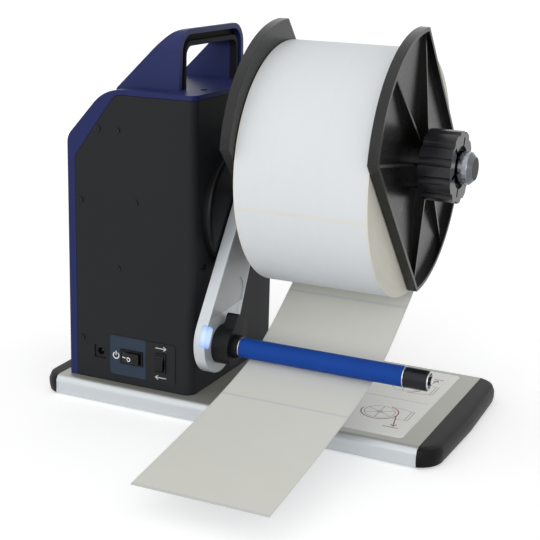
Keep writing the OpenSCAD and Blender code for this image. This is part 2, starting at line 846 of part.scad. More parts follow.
// Pulley with a rim on each side of the belt
module pulley(at, r, bore, hub_x) {
    half = belt_w / 2 + 0.6;
    rim = belt_t + 1.5;
    turned_x(at, [
        [bore, hub_x], [min(bore + 3, r), hub_x], [min(bore + 3, r), belt_x - half - 1.6],
        [r + rim, belt_x - half - 1.6], [r + rim, belt_x - half], [r, belt_x - half],
        [r, belt_x + half], [r + rim, belt_x + half], [r + rim, belt_x + half + 1.6],
        [bore, belt_x + half + 1.6]
    ]);
}

module driven_pulley() {
    color("#d7d3c4") pulley(spindle, driven_r, journal_d / 2 + run, frame_x + clear);
}

module motor_pulley() {
    color("#d7d3c4") pulley(motor, motor_r, motor_shaft_d / 2 + run, frame_x + frame_t + 1);
}

module motor_shaft() {
    color("#c3c7cb") bar_x(motor, motor_shaft_d / 2, frame_x - 10, belt_x + belt_w / 2 + 2);
}

// Gear motor with a boss that passes the frame plate
module drive_motor() {
    boss = motor_d / 5;
    bore = motor_shaft_d / 2 + run;
    color("#6b7075") turned_x(motor, [
        [0, frame_x - motor_l], [motor_d / 2 - 1, frame_x - motor_l], [motor_d / 2, frame_x - motor_l + 1],
        [motor_d / 2, frame_x - 22], [motor_d / 2 - 1.5, frame_x - 22], [motor_d / 2 - 1.5, frame_x - 20],
        [motor_d / 2, frame_x - 20], [motor_d / 2, frame_x], [boss, frame_x], [boss, frame_x + frame_t],
        [bore, frame_x + frame_t], [bore, frame_x - 10 - clear], [0, frame_x - 10 - clear]
    ]);
}

// Flat belt round both pulleys
module drive_belt() {
    color("#202124") slab_x(belt_x - belt_w / 2, belt_w) difference() {
        link(spindle, driven_r + clear + belt_t, motor, motor_r + clear + belt_t);
        link(spindle, driven_r + clear, motor, motor_r + clear);
    }
}

board_x = frame_x - standoff_l;
board_z = base_top + board_up;

// Circuit board with its larger parts
module control_board() {
    board_t = 1.6;
    part_x = board_x - board_t;
    color("#1f5b3a") translate([board_x - board_t, -board_w / 2, board_z]) cube([board_t, board_w, board_h]);
    color("#2a2c30") {
        translate([part_x - 12, -board_w / 4, board_z + 8]) cube([12, 20, 12]);
        translate([part_x - 5, board_w / 8, board_z + board_h - 18]) cube([5, 16, 10]);
        for (i = [0:2])
            bar_x([-board_w / 3 + i * 11, board_z + board_h - 10], 4, part_x - 12, part_x);
    }
}

module board_standoffs() {
    color("#b9a45c") for (sy = [-1, 1], z = [5, board_h - 5])
        bar_x([sy * (board_w / 2 - 5), board_z + z], 2.5, board_x, frame_x);
}

// Raised round boss on the right wall, clear of the spindle
module arm_boss() {
    edge = 3;
    edge_mid = [boss_r - edge, right_x + boss_h - edge];
    color("#26282b") difference() {
        turned_x(pivot, concat(
            [[arm_shaft_d / 2 + 4, right_x], [boss_r, right_x]],
            [for (i = [0:6]) edge_mid + edge * dir(i * 15)],
            [[arm_shaft_d / 2 + 4, right_x + boss_h]]
        ));
        bar_x(spindle, flange_hub_r + 3, right_x - eps, right_x + boss_h + eps);
        for (p = side_screw_at) bar_x(p, screw_head_d / 2 + 1, right_x - eps, right_x + boss_h + eps);
    }
}

// Flanged plain bearing of the arm
module arm_bush() {
    r0 = arm_shaft_d / 2 + run;
    color("#b08d57") tube_x(pivot, arm_shaft_d / 2 + 4 - set_fit, r0, right_x - wall_t - 4, right_x + boss_h);
}

module arm_shaft() {
    color("#b7bbc0") {
        bar_x(pivot, arm_shaft_d / 2, frame_x + frame_t + 1, arm_x + arm_t / 2);
        bar_x(pivot, arm_shaft_d / 4, frame_x - 6, frame_x + frame_t + 2);
    }
}

// Angle sensor behind the frame plate, turned by the arm's shaft
module arm_sensor() {
    color("#3b4f86") difference() {
        bar_x(pivot, sensor_d / 2, frame_x - 9, frame_x);
        bar_x(pivot, arm_shaft_d / 4 + run, frame_x - 6 - clear, frame_x + eps);
    }
}

// Arm outline, drawn in by e
module arm_outline(e) {
    link(arm_low, arm_low_r - e, arm_top, arm_top_r - e);
}

// Part of the arm's face above the seam of its cover
module cover_side() {
    seam_at = roller + arm_dir * (arm_low_r + 0.8);
    lean = arm_dir * 33.6;
    polygon([
        seam_at + arm_side * 60 - lean, seam_at - arm_side * 60 + lean,
        seam_at - arm_side * 60 + arm_dir * 200, seam_at + arm_side * 60 + arm_dir * 200
    ]);
}

// Lit window that wraps the arm's front edge
module light_window(e) {
    intersection() {
        arm_outline(0);
        translate(roller + arm_side * (arm_low_r + 2) + arm_dir * 0.5)
            rotate(atan2(arm_dir.y, arm_dir.x))
                polygon(rounded_box(17.5 - 2 * e, 24 - 2 * e, 2));
    }
}
light_depth = 4.2;

// Shallow slot in the arm's face, from the collar upwards
slot_depth = 0.8;
module arm_slot() {
    from = roller + arm_dir * (collar_r + 1) - arm_side * 10.5;
    to = roller + arm_dir * 47.5 - arm_side * 10.5;
    slot_r = 11.4;
    across = arm_side * slot_r;
    lean = atan2(arm_side.y, arm_side.x);
    slab_x(arm_face_x - slot_depth, slot_depth + eps) polygon(concat(
        [from - across],
        [for (i = [0:24]) to + slot_r * dir(lean - 180 + 180 * i / 24)],
        [from + across]
    ));
}

module tension_arm() {
    color("#c3c6c8") difference() {
        slab_x(arm_x, arm_t) arm_outline(0);
        slab_x(arm_face_x - arm_cover_t, arm_cover_t + eps) intersection() {
            arm_outline(2);
            cover_side();
        }
        slab_x(arm_face_x - light_depth, light_depth + eps) light_window(0);
        arm_slot();
        bar_x(pivot, arm_shaft_d / 2 + run, arm_x - eps, arm_x + arm_t / 2 + set_fit);
        bar_x(roller, roller_shaft_d / 2 + run, arm_x + 2 - set_fit, arm_face_x + eps);
    }
}

module arm_cover() {
    color("#b9bcbe") difference() {
        slab_x(arm_face_x - arm_cover_t, arm_cover_t) intersection() {
            arm_outline(2 + set_fit);
            translate(arm_dir * set_fit) cover_side();
        }
        slab_x(arm_face_x - arm_cover_t - eps, arm_cover_t + 2 * eps) light_window(-1);
        arm_slot();
    }
}

module arm_light() {
    color("#d8e2ff") slab_x(arm_face_x - light_depth, light_depth) light_window(set_fit);
}

// Hollow corner of radius r between the lobe's front side, w off its middle, and the collar's disc
function lobe_corner(w, r, n = 8) =
    let (c = [sqrt(pow(collar_r + r, 2) - pow(w + r, 2)), w + r], a = atan2(c.y, c.x))
    concat([[c.x, 0], [0, 0]], [for (i = [0:n]) c + r * dir(a - 180 + (90 - a) * i / n)]);

// Collar with one thumb lobe, between arm and roller
module roller_collar() {
    lobe_turn = 55;
    lobe_front = 11.9;
    lobe_back = -6;
    color("#1d1e20") difference() {
        union() {
            bar_x(roller, collar_r, arm_face_x, collar_face_x);
            slab_x(collar_face_x - lobe_t, lobe_t) translate(roller) rotate(lobe_turn) {
                polygon(rounded([
                    [0, 0], [collar_r / 4, -collar_r + 1], [collar_r * 0.85, lobe_back - 8.8],
                    [lobe_r, lobe_back], [lobe_r, lobe_front], [0, lobe_front]
                ], [0, 0, 4, 3.5, 3.5, 0]));
                polygon(lobe_corner(lobe_front, 7));
            }
            translate([0, roller.x, roller.y]) rotate([lobe_turn, 0, 0]) translate([0, 0, -4])
                linear_extrude(12) polygon([
                    [arm_face_x + 0.5, collar_r - 8], [arm_face_x + 0.5, collar_r - 3.2],
                    [collar_face_x - lobe_t + 1, collar_r + 4.6], [collar_face_x - lobe_t + 1, collar_r - 8]
                ]);
            bar_x(roller, roller_shaft_d / 2 + 5.6, collar_face_x - eps, collar_face_x + spigot_l);
        }
        bar_x(roller, roller_shaft_d / 2 + run, arm_face_x - eps, collar_face_x + spigot_l + eps);
    }
}

module roller_shaft() {
    color("#b7bbc0") bar_x(roller, roller_shaft_d / 2, arm_x + 2, stop_x + end_stop_l);
}

module roller_tube() {
    color("#a9adb2")
        tube_x(roller, roller_tube_d / 2, roller_shaft_d / 2 + run, roller_x, roller_x + roller_l);
}

module roller_sleeve() {
    color("#2146a8")
        tube_x(roller, roller_d / 2, roller_tube_d / 2 + set_fit / 2, roller_x, roller_x + roller_l);
}

module roller_rings() {
    r1 = roller_d / 2 + 0.2;
    color("#d4d7da") for (x = [roller_x - ring_t, roller_x + roller_l])
        tube_x(roller, r1, roller_shaft_d / 2 + run, x, x + ring_t);
}

module roller_end_stop() {
    r = roller_d / 2;
    color("#17181a") turned_x(roller, [
        [roller_shaft_d / 2 + run, stop_x], [r, stop_x], [r, stop_x + end_stop_l - 0.5],
        [r - 0.5, stop_x + end_stop_l], [roller_shaft_d / 2 + run, stop_x + end_stop_l]
    ]);
}

// Washer and domed screw at the roller's free end
module roller_end_screw() {
    x = stop_x + end_stop_l;
    r = roller_d / 2 - 0.7;
    color("#d4d7da") turned_x(roller, [
        [0, x], [r, x], [r, x + 1], [r - 1.1, x + 1], [r - 1.1, x + 0.4], [3.4, x + 0.4],
        [3.2, x + 2.4], [2.2, x + 3.2], [0, x + 3.4]
    ]);
}

// Flange outline: a disc with two flats, drawn in by e
module flange_outline(e) {
    intersection() {
        circle(flange_r - e, $fn = 96);
        rotate(90 - flange_turn) square([2 * (flange_flat - e), 3 * flange_r], center = true);
    }
}

// Directions of the six ribs: the four corners and the middles of the two arcs
function rib_angles() =
    let (half = acos(flange_flat / flange_r), flat = 90 - flange_turn)
    [flat + half, flat - half, flat + 180 + half, flat + 180 - half, flat + 90, flat + 270];

// One rib: tall at the hub, low at the rim, its foot sunk in the plate
module flange_rib() {
    foot = flange_plate / 2;
    tip = flange_r - flange_rim_t + 1;
    rotate([0, 0, 90]) translate([0, 0, -rib_t / 2]) linear_extrude(rib_t) polygon([
        [flange_hub_r - 2, -foot], [tip, -foot],
        [tip, -flange_rim_h * 0.6], [flange_hub_r - 2, -flange_hub_h + 0.5]
    ]);
}

// Ribbed flange at the spindle, plate at x = 0 and ribs towards +x
module flange_form() {
    translate([0, spindle.x, spindle.y]) difference() {
        union() {
            difference() {
                slab_x(0, flange_rim_h) flange_outline(0);
                slab_x(flange_plate, flange_rim_h) flange_outline(flange_rim_t);
            }
            for (a = rib_angles()) rotate([a, 0, 0]) flange_rib();
            rotate([0, 90, 0]) translate([0, 0, flange_plate / 2])
                cylinder(r = flange_hub_r, h = flange_hub_h - flange_plate / 2);
        }
        rotate([0, 90, 0]) translate([0, 0, -eps])
            cylinder(r = spindle_d / 2 + run, h = flange_hub_h + 2 * eps);
    }
}

module outer_flange() {
    color("#222326") translate([outer_x, 0, 0]) flange_form();
}

module inner_flange() {
    color("#222326") translate([roll_x - clear, 0, 0]) mirror([1, 0, 0]) flange_form();
}

// Open hub that the roll's core hangs on
module core_hub() {
    x0 = roll_x - clear;
    x1 = roll_x + roll_w - 4;
    r = hub_d / 2;
    bore = spindle_d / 2 + run;
    end_t = 4;
    color("#2a2c2f") turned_x(spindle, [
        [bore, x0], [r, x0], [r, x1], [r - 3, x1], [r - 3, x0 + end_t], [bore + 3, x0 + end_t],
        [bore + 3, x1], [bore, x1]
    ]);
}

// Fluted knob with a slotted end
module lock_knob() {
    slot_l = 8;
    slot_w = 3;
    color("#1b1c1e") difference() {
        slab_x(knob_x, knob_l) translate(spindle) difference() {
            circle(knob_r);
            for (i = [0:knob_flutes - 1])
                rotate((i + 0.5) * 360 / knob_flutes) translate([knob_r + 2.2, 0]) circle(4.2, $fn = 24);
            circle(spindle_d / 2 + run);
        }
        bar_x(spindle, spindle_d / 2 + 4, knob_x + knob_l - 3, knob_x + knob_l + eps);
        translate([knob_x + knob_l, spindle.x, spindle.y]) for (a = [0:60:300])
            rotate([a + 15, 0, 0]) translate([-slot_l, spindle_d / 2, -slot_w / 2])
                cube([slot_l + eps, knob_r - spindle_d / 2 - 5, slot_w]);
    }
}

module roll_core() {
    color("#b79a72") tube_x(roll, core_bore / 2 + core_wall, core_bore / 2, roll_x + clear, roll_x + roll_w);
}

module label_roll() {
    color("#eceeee") tube_x(roll, roll_d / 2, core_bore / 2 + core_wall + set_fit / 2,
                            roll_x + clear, roll_x + roll_w);
}

// Free strip of the label web
module label_web() {
    m = len(web_path) - 1;
    function normal(i) =
        let (d = web_path[min(i + 1, m)] - web_path[max(i - 1, 0)])
        [-d.y, d.x] / norm(d) * web_t / 2;
    color("#e6e6e0") slab_x(roll_x + clear + (roll_w - web_w) / 2, web_w)
        polygon(concat(
            [for (i = [0:m]) web_path[i] + normal(i)],
            [for (i = [m:-1:0]) web_path[i] - normal(i)]
        ));
}

base_plate();
end_cap_left();
end_cap_right();
rubber_feet();
housing_shell();
housing_cover();
carry_handle();
handle_liner();
panel_screws();
cover_screws();
side_screws();
switch_plate();
direction_plate();
power_switch_body();
power_rocker();
direction_switch_body();
direction_rocker();
dc_inlet();
frame_plate();
frame_screws();
bearing_housing();
spindle_bearings();
spindle_shaft();
driven_pulley();
drive_motor();
motor_shaft();
motor_pulley();
drive_belt();
control_board();
board_standoffs();
arm_boss();
arm_bush();
arm_shaft();
arm_sensor();
tension_arm();
arm_cover();
arm_light();
roller_collar();
roller_shaft();
roller_tube();
roller_sleeve();
roller_rings();
roller_end_stop();
roller_end_screw();
inner_flange();
core_hub();
outer_flange();
lock_knob();
roll_core();
label_roll();
label_web();
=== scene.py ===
"""Looks of a desktop label rewinder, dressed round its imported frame.

Lengths are in metres in the frame of the solids: X runs along the spindle to its free end, Y to the
back and Z up from the feet's underside.
"""

import logging
import math
from contextlib import contextmanager
from dataclasses import dataclass, field
from enum import Enum
from typing import Any, Callable, ClassVar, Iterator, Union

import bmesh
import bpy
from mathutils import Matrix, Vector


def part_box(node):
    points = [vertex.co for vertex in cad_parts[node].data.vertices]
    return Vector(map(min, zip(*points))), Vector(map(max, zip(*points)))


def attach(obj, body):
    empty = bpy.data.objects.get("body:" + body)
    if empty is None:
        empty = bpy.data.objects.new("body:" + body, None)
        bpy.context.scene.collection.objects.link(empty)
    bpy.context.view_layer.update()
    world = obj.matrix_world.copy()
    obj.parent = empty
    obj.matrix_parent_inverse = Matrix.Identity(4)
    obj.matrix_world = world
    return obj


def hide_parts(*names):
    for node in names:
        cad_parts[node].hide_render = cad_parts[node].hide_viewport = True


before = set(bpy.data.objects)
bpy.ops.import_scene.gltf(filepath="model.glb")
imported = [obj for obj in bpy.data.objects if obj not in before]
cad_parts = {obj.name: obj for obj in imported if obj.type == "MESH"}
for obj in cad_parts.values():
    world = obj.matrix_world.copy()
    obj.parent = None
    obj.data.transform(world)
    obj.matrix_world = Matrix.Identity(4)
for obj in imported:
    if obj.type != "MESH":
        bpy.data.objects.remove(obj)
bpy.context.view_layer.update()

MM = 0.001

# Axes that run along X, as (y, z).
SPINDLE = (0.0, 0.218)
ROLL = (0.0, 0.2084)
ROLLER = (-0.065, 0.063)
PIVOT = (-0.014, 0.166)
MOTOR_AXIS = (0.034, 0.126)

# A face looks along X where its normal has more than this along X.
SIDEWAYS = 0.7

# How deep the lip round the handle's opening is.
LINER_LIP = 1.5 * MM

# The sockets of a Mix node for colours.
MIX_SHARE, MIX_LOW, MIX_HIGH, MIX_RESULT = 0, 6, 7, 2

log = logging.getLogger("label_rewinder")

Piece = bpy.types.Object
Material = bpy.types.Material
Pair = tuple[float, float]
Triple = tuple[float, float, float]
Colour = Triple
Number = Union["Wire", float]


def operator(operation: str, swapped: bool = False) -> Callable[["Wire", Number], "Wire"]:
    """Makes an operator of Wire from a Math operation; swapped puts the other value first."""

    def method(wire: "Wire", other: Number) -> "Wire":
        """Adds the Math node."""
        return wire.math(operation, *((other, wire) if swapped else (wire, other)))

    return method


class Wire:
    """A shader socket that Python's operators work on; each operator adds a Math node.

    A remainder is never negative; & takes the smaller of two masks and | the larger.
    """

    __add__ = __radd__ = operator("ADD")
    __sub__ = operator("SUBTRACT")
    __rsub__ = operator("SUBTRACT", swapped=True)
    __mul__ = __rmul__ = operator("MULTIPLY")
    __truediv__ = operator("DIVIDE")
    __pow__ = operator("POWER")
    __mod__ = operator("FLOORED_MODULO")
    __gt__ = operator("GREATER_THAN")
    __lt__ = operator("LESS_THAN")
    __and__ = operator("MINIMUM")
    __or__ = operator("MAXIMUM")

    def __init__(self, graph: "Graph", socket: bpy.types.NodeSocket) -> None:
        """Keeps the graph and the socket."""
        self.graph = graph
        self.socket = socket

    def math(self, operation: str, *values: Number) -> "Wire":
        """Adds one Math node with numbers or wires in its sockets."""
        return self.graph.node("ShaderNodeMath", {"operation": operation}, dict(enumerate(values)))

    def __abs__(self) -> "Wire":
        """Absolute value."""
        return self.math("ABSOLUTE", self)

    def step(self, low: float, high: float) -> "Wire":
        """A soft step from 0 at low to 1 at high."""
        return self.graph.node(
            "ShaderNodeMapRange", {"interpolation_type": "SMOOTHSTEP"},
            {"Value": self, "From Min": low, "From Max": high},
        )

    def sway(self, size: float, middle: float = 0.5) -> "Wire":
        """This noise as a change up and down from its middle."""
        return (self - middle) * size

    def mean(self, other: "Wire") -> "Wire":
        """Half of each of two."""
        return (self + other) * 0.5


class Graph:
    """The nodes of one material or world."""

    def __init__(self, owner: bpy.types.ID) -> None:
        """Starts with the owner's nodes cleared."""
        self.owner = owner
        owner.use_nodes = True
        self.tree = owner.node_tree
        self.tree.nodes.clear()

    def node(
        self, kind: str, settings: dict[str, Any] | None = None,
        sockets: dict[Any, Any] | None = None, out: int | str = 0,
    ) -> Wire:
        """Adds any node.

        Args:
            kind: the node's type.
            settings: its properties.
            sockets: values or wires for its inputs, by name or number.
            out: the output to return.
        Returns:
            The chosen output.
        """
        item = self.tree.nodes.new(kind)
        for key, value in (settings or {}).items():
            setattr(item, key, value)
        for key, value in (sockets or {}).items():
            if isinstance(value, Wire):
                self.tree.links.new(value.socket, item.inputs[key])
            else:
                item.inputs[key].default_value = value
        return Wire(self, item.outputs[out])

    def place(self, scale: Triple = (1, 1, 1), shift: Triple = (0, 0, 0)) -> Wire:
        """Object coordinates, shifted and then scaled."""
        coords = self.node("ShaderNodeTexCoord", out="Object")
        moved = self.node("ShaderNodeVectorMath", {"operation": "SUBTRACT"}, {0: coords, 1: shift})
        return self.node("ShaderNodeVectorMath", {"operation": "MULTIPLY"}, {0: moved, 1: scale})

    def axes(self, vector: Wire) -> tuple[Wire, Wire, Wire]:
        """The three parts of a vector."""
        item = self.tree.nodes.new("ShaderNodeSeparateXYZ")
        self.tree.links.new(vector.socket, item.inputs[0])
        return tuple(Wire(self, item.outputs[i]) for i in range(3))

    def facing(self) -> tuple[Wire, Wire, Wire]:
        """The three parts of the surface's normal."""
        return self.axes(self.node("ShaderNodeNewGeometry", out="Normal"))

    def around(self, axis: Pair) -> tuple[Wire, Wire]:
        """The place along an axis that runs with X, and the distance from it."""
        x, y, z = self.axes(self.place(shift=(0, *axis)))
        return x, (y * y + z * z) ** 0.5

    def vector(self, x: Number, y: Number, z: Number) -> Wire:
        """A vector from three parts."""
        return self.node("ShaderNodeCombineXYZ", {}, {0: x, 1: y, 2: z})

    def noise(self, vector: Wire, scale: float, detail: float = 2.0, rough: float = 0.5) -> Wire:
        """Noise from about 0 to 1 at that scale."""
        return self.node(
            "ShaderNodeTexNoise", {},
            {"Vector": vector, "Scale": scale, "Detail": detail, "Roughness": rough},
        )

    def mix(self, share: Number, low: Any, high: Any) -> Wire:
        """Mixes two colours, each a wire or three numbers; share is the part of the second."""
        low, high = (c if isinstance(c, Wire) else (*c, 1.0) for c in (low, high))
        sockets = {MIX_SHARE: share, MIX_LOW: low, MIX_HIGH: high}
        return self.node("ShaderNodeMix", {"data_type": "RGBA"}, sockets, MIX_RESULT)

    def shades(self, share: Number, colour: Colour, low: float, high: float) -> Wire:
        """A colour between two shades of it, given as factors."""
        return self.mix(share, scaled(colour, low), scaled(colour, high))

    def bump(self, height: Wire, depth: float, under: Wire | None = None) -> Wire:
        """A bumped normal; depth is the relief's height in metres."""
        sockets: dict[str, Any] = {"Height": height, "Distance": depth, "Strength": 1.0}
        if under is not None:
            sockets["Normal"] = under
        return self.node("ShaderNodeBump", {}, sockets)

    def seen(self) -> Wire:
        """One for rays that show the studio itself: to the eye, mirrored or through glass."""
        eye, mirrored, through = (
            self.node("ShaderNodeLightPath", out=f"Is {ray} Ray")
            for ray in ("Camera", "Glossy", "Transmission")
        )
        return eye | mirrored | through

    def surface(self, **sockets: Any) -> Material:
        """Closes the material with a Principled shader; an underscore stands for a space."""
        named = {
            key.replace("_", " "): (*value, 1.0) if isinstance(value, tuple) else value
            for key, value in sockets.items()
        }
        return self.close(self.node("ShaderNodeBsdfPrincipled", {}, named))

    def close(self, shader: Wire, output: str = "ShaderNodeOutputMaterial") -> bpy.types.ID:
        """Leads a shader to an output and gives back the owner."""
        out = self.tree.nodes.new(output)
        self.tree.links.new(shader.socket, out.inputs["Surface"])
        return self.owner


def scaled(colour: Colour, factor: float) -> Colour:
    """A colour made lighter or darker."""
    return tuple(min(1.0, c * factor) for c in colour)


@dataclass(frozen=True)
class Ink:
    """Strokes of one colour, in millimetres on two axes of the frame: print, and on the inlet a
    painted shadow and glint.
    """

    colour: Colour
    width: float
    lines: tuple[tuple[float, ...], ...] = ()
    arcs: tuple[tuple[float, ...], ...] = ()
    axes: tuple[int, int] = (0, 2)
    fold: float | None = None
    soft: float = 0.12

    def mask(self, g: Graph) -> Wire:
        """Where the ink lies, from 0 to 1."""
        parts = g.axes(g.place((1 / MM, 1 / MM, 1 / MM)))
        u, v = (parts[i] for i in self.axes)
        if self.fold is not None:
            v = abs(v - self.fold)
        shapes = [self.line(u, v, *ends) for ends in self.lines]
        shapes += [self.arc(u, v, *arc) for arc in self.arcs]
        total = shapes[0]
        for shape in shapes[1:]:
            total = total | shape
        return total

    def stroke(self, off: Wire) -> Wire:
        """One where the distance from a stroke's middle is under half its width."""
        return 1 - off.step(self.width / 2 - self.soft, self.width / 2 + self.soft)

    def line(self, u: Wire, v: Wire, x0: float, y0: float, x1: float, y1: float) -> Wire:
        """A straight stroke between two points, with square ends."""
        length = math.hypot(x1 - x0, y1 - y0)
        dx, dy = (x1 - x0) / length, (y1 - y0) / length
        along = (u - x0) * dx + (v - y0) * dy
        across = abs((v - y0) * dx - (u - x0) * dy)
        past = abs(along - length / 2) + (self.width - length) / 2
        return self.stroke(across | past)

    def arc(
        self, u: Wire, v: Wire, x: float, y: float, radius: float, start: float, stop: float
    ) -> Wire:
        """A round stroke about a point from one angle to another, in degrees."""
        du, dv = u - x, v - y
        ring = self.stroke(abs((du * du + dv * dv) ** 0.5 - radius))
        if stop - start >= 360:
            return ring
        turn = dv.math("ARCTAN2", dv, du) - math.radians(start)
        return ring & (turn % math.tau < math.radians(stop - start))


@dataclass(frozen=True)
class Finish:
    """A surface finish, made into a material once."""

    name: str
    colour: Colour
    rough: float = 0.5
    inks: tuple[Ink, ...] = field(default=(), kw_only=True)

    def printed(self, g: Graph, tone: Wire) -> Wire:
        """The colour with the finish's inks on it: prints, and on the inlet a painted shadow and
        glint.
        """
        for ink in self.inks:
            tone = g.mix(ink.mask(g), tone, ink.colour)
        return tone

    def make(self) -> Material:
        """The finish's material, new or kept."""
        kept = bpy.data.materials.get(self.name)
        return kept or self.paint(Graph(bpy.data.materials.new(self.name)))

    def paint(self, g: Graph) -> Material:
        """Builds the nodes; each kind of finish has its own."""
        raise NotImplementedError


@dataclass(frozen=True)
class Moulded(Finish):
    """Moulded plastic or rubber with an eroded grain and faint flow clouds."""

    grain: float = 0.35 * MM
    relief: float = 0.012 * MM
    gloss: float = 0.4
    cloud: float = 0.14
    # Painted shade: faces looking along X, below recess_x, are darkened to a small share of the
    # colour.
    recess_x: float | None = None
    recess_painted_shade: float = 0.08
    cloud_scale: float = 22.0
    rub_scale: Triple = (90, 14, 40)
    rub_shade: float = 1.5
    rub_share: float = 0.35
    rub_shine: float = 0.08

    def paint(self, g: Graph) -> Material:
        """Grain in the normal, clouds in the colour, rub marks in the roughness, painted shade in a
        recess.
        """
        at = g.place()
        grain = g.noise(at, 1 / self.grain)
        cloud = g.noise(at, self.cloud_scale, detail=3.0)
        rub = g.noise(g.place(self.rub_scale), 1.0, detail=4.0, rough=0.62)
        tone = g.shades(cloud, self.colour, 1 - self.cloud, 1 + self.cloud)
        worn = scaled(self.colour, self.rub_shade)
        tone = g.mix(rub.step(0.62, 0.8) * self.rub_share, tone, worn)
        # Painted shade: the recess's floor, facing along X, is made nearly black.
        if self.recess_x is not None:
            x, _, _ = g.axes(at)
            facing, _, _ = g.facing()
            inside = (x < self.recess_x) & (facing > SIDEWAYS)
            tone = g.mix(inside, tone, scaled(self.colour, self.recess_painted_shade))
        worn_rough = rub.step(0.58, 0.8) * self.rub_shine
        rough = self.rough + cloud.sway(0.1) + grain.sway(0.1) - worn_rough
        return g.surface(
            Base_Color=self.printed(g, tone), Roughness=rough, Normal=g.bump(grain, self.relief),
            Specular_IOR_Level=self.gloss,
        )


@dataclass(frozen=True)
class Coated(Finish):
    """Baked paint on sheet metal: an orange-peel skin with a fine speckle and light handling."""

    peel: float = 1.3 * MM
    relief: float = 0.03 * MM
    gloss: float = 0.45
    speckle: float = 0.28 * MM
    speckle_shade: float = 1.6
    speckle_share: float = 0.3
    speckle_relief: float = 0.25
    cloud_scale: float = 9.0
    smear_scale: Triple = (26, 26, 7)

    def paint(self, g: Graph) -> Material:
        """Two sizes of peel in the normal, speckle and clouds in the colour."""
        at = g.place()
        peel = g.noise(at, 1 / self.peel)
        fine = g.noise(at, 1 / self.speckle, detail=1.0)
        cloud = g.noise(at, self.cloud_scale, detail=3.0)
        smear = g.noise(g.place(self.smear_scale), 1.0, detail=4.0, rough=0.6)
        tone = g.shades(cloud, self.colour, 0.9, 1.1)
        light = scaled(self.colour, self.speckle_shade)
        tone = g.mix(fine.step(0.6, 0.72) * self.speckle_share, tone, light)
        rough = self.rough + cloud.sway(0.12) + smear.sway(0.14)
        skin = g.bump(fine, self.relief * self.speckle_relief, g.bump(peel, self.relief))
        return g.surface(
            Base_Color=self.printed(g, tone), Roughness=rough, Normal=skin,
            Specular_IOR_Level=self.gloss,
        )


@dataclass(frozen=True)
class Drawn(Finish):
    """Anodised aluminium with fine die lines along X; a painted shade may darken and warm its top.
    """

    relief: float = 0.006 * MM
    # A darker, warmer tone for upward faces: painted shade on the top.
    top: Colour | None = None
    metal: float = 0.5
    line_scale: Triple = (2.5, 2600, 2600)
    band_scale: Triple = (1.2, 170, 170)
    cloud_scale: float = 14.0
    mark_scale: float = 55.0

    def paint(self, g: Graph) -> Material:
        """Die lines in normal, colour and roughness over slow clouds."""
        lines = g.noise(g.place(self.line_scale), 1.0, detail=3.0, rough=0.6)
        bands = g.noise(g.place(self.band_scale), 1.0)
        cloud = g.noise(g.place(), self.cloud_scale, detail=3.0)
        marks = g.noise(g.place(), self.mark_scale, detail=5.0, rough=0.7).step(0.66, 0.8)
        tone = g.shades(bands.mean(lines), self.colour, 0.9, 1.08)
        rough = self.rough + lines.sway(0.12) + cloud.sway(0.08) + marks * 0.06
        # Painted shade: upward faces take the darker top tone.
        if self.top:
            _, _, up = g.facing()
            tone = g.mix(up.step(0.75, 0.98), tone, g.shades(lines, self.top, 0.96, 1.04))
        return g.surface(
            Base_Color=tone, Roughness=rough, Metallic=self.metal, Normal=g.bump(lines, self.relief)
        )


@dataclass(frozen=True)
class Turned(Finish):
    """Metal from the lathe, with tool lines round an axis along X."""

    axis: Pair = (0.0, 0.0)
    pitch: float = 0.22 * MM
    relief: float = 0.008 * MM
    # Colour factor for faces looking along X: a painted dark reflection on the ends.
    end: float = 1.0
    # Radii between which painted shade darkens a recess.
    recess: Pair | None = None
    # Colour factor for the chamfers: a painted dark reflection.
    chamfer_painted_reflection: float = 0.5
    recess_painted_shade: float = 0.03
    cloud_scale: float = 60.0
    gloss: float = 0.02

    def paint(self, g: Graph) -> Material:
        """Tool lines by the distance along and from the axis; painted dark reflection on ends and
        chamfers, painted shade in a recess.
        """
        x, radius = g.around(self.axis)
        lines = g.noise(g.vector(x / self.pitch, radius / self.pitch, 0.0), 1.0)
        cloud = g.noise(g.place(), self.cloud_scale, detail=3.0)
        tone = g.shades(lines * 0.6 + cloud * 0.4, self.colour, 0.82, 1.12)
        rough = self.rough + lines.sway(0.16) + cloud.sway(0.1)
        metal: Number = 1.0
        # Painted dark reflection: chamfers and flat ends are darkened, and the ends are no longer
        # metal.
        if self.end < 1.0:
            facing, _, _ = g.facing()
            chamfer, flat = abs(facing).step(0.5, 0.65), abs(facing).step(0.85, 0.95)
            tone = g.mix(chamfer, tone, scaled(self.colour, self.chamfer_painted_reflection))
            tone = g.mix(flat, tone, scaled(self.colour, self.end))
            metal = 1 - flat
        # Painted shade in the recess between two radii.
        if self.recess:
            inside = (radius > self.recess[0]) & (radius < self.recess[1])
            tone = g.mix(inside, tone, scaled(self.colour, self.recess_painted_shade))
        return g.surface(
            Base_Color=tone, Roughness=rough, Metallic=metal, Normal=g.bump(lines, self.relief),
            Specular_IOR_Level=self.gloss,
        )


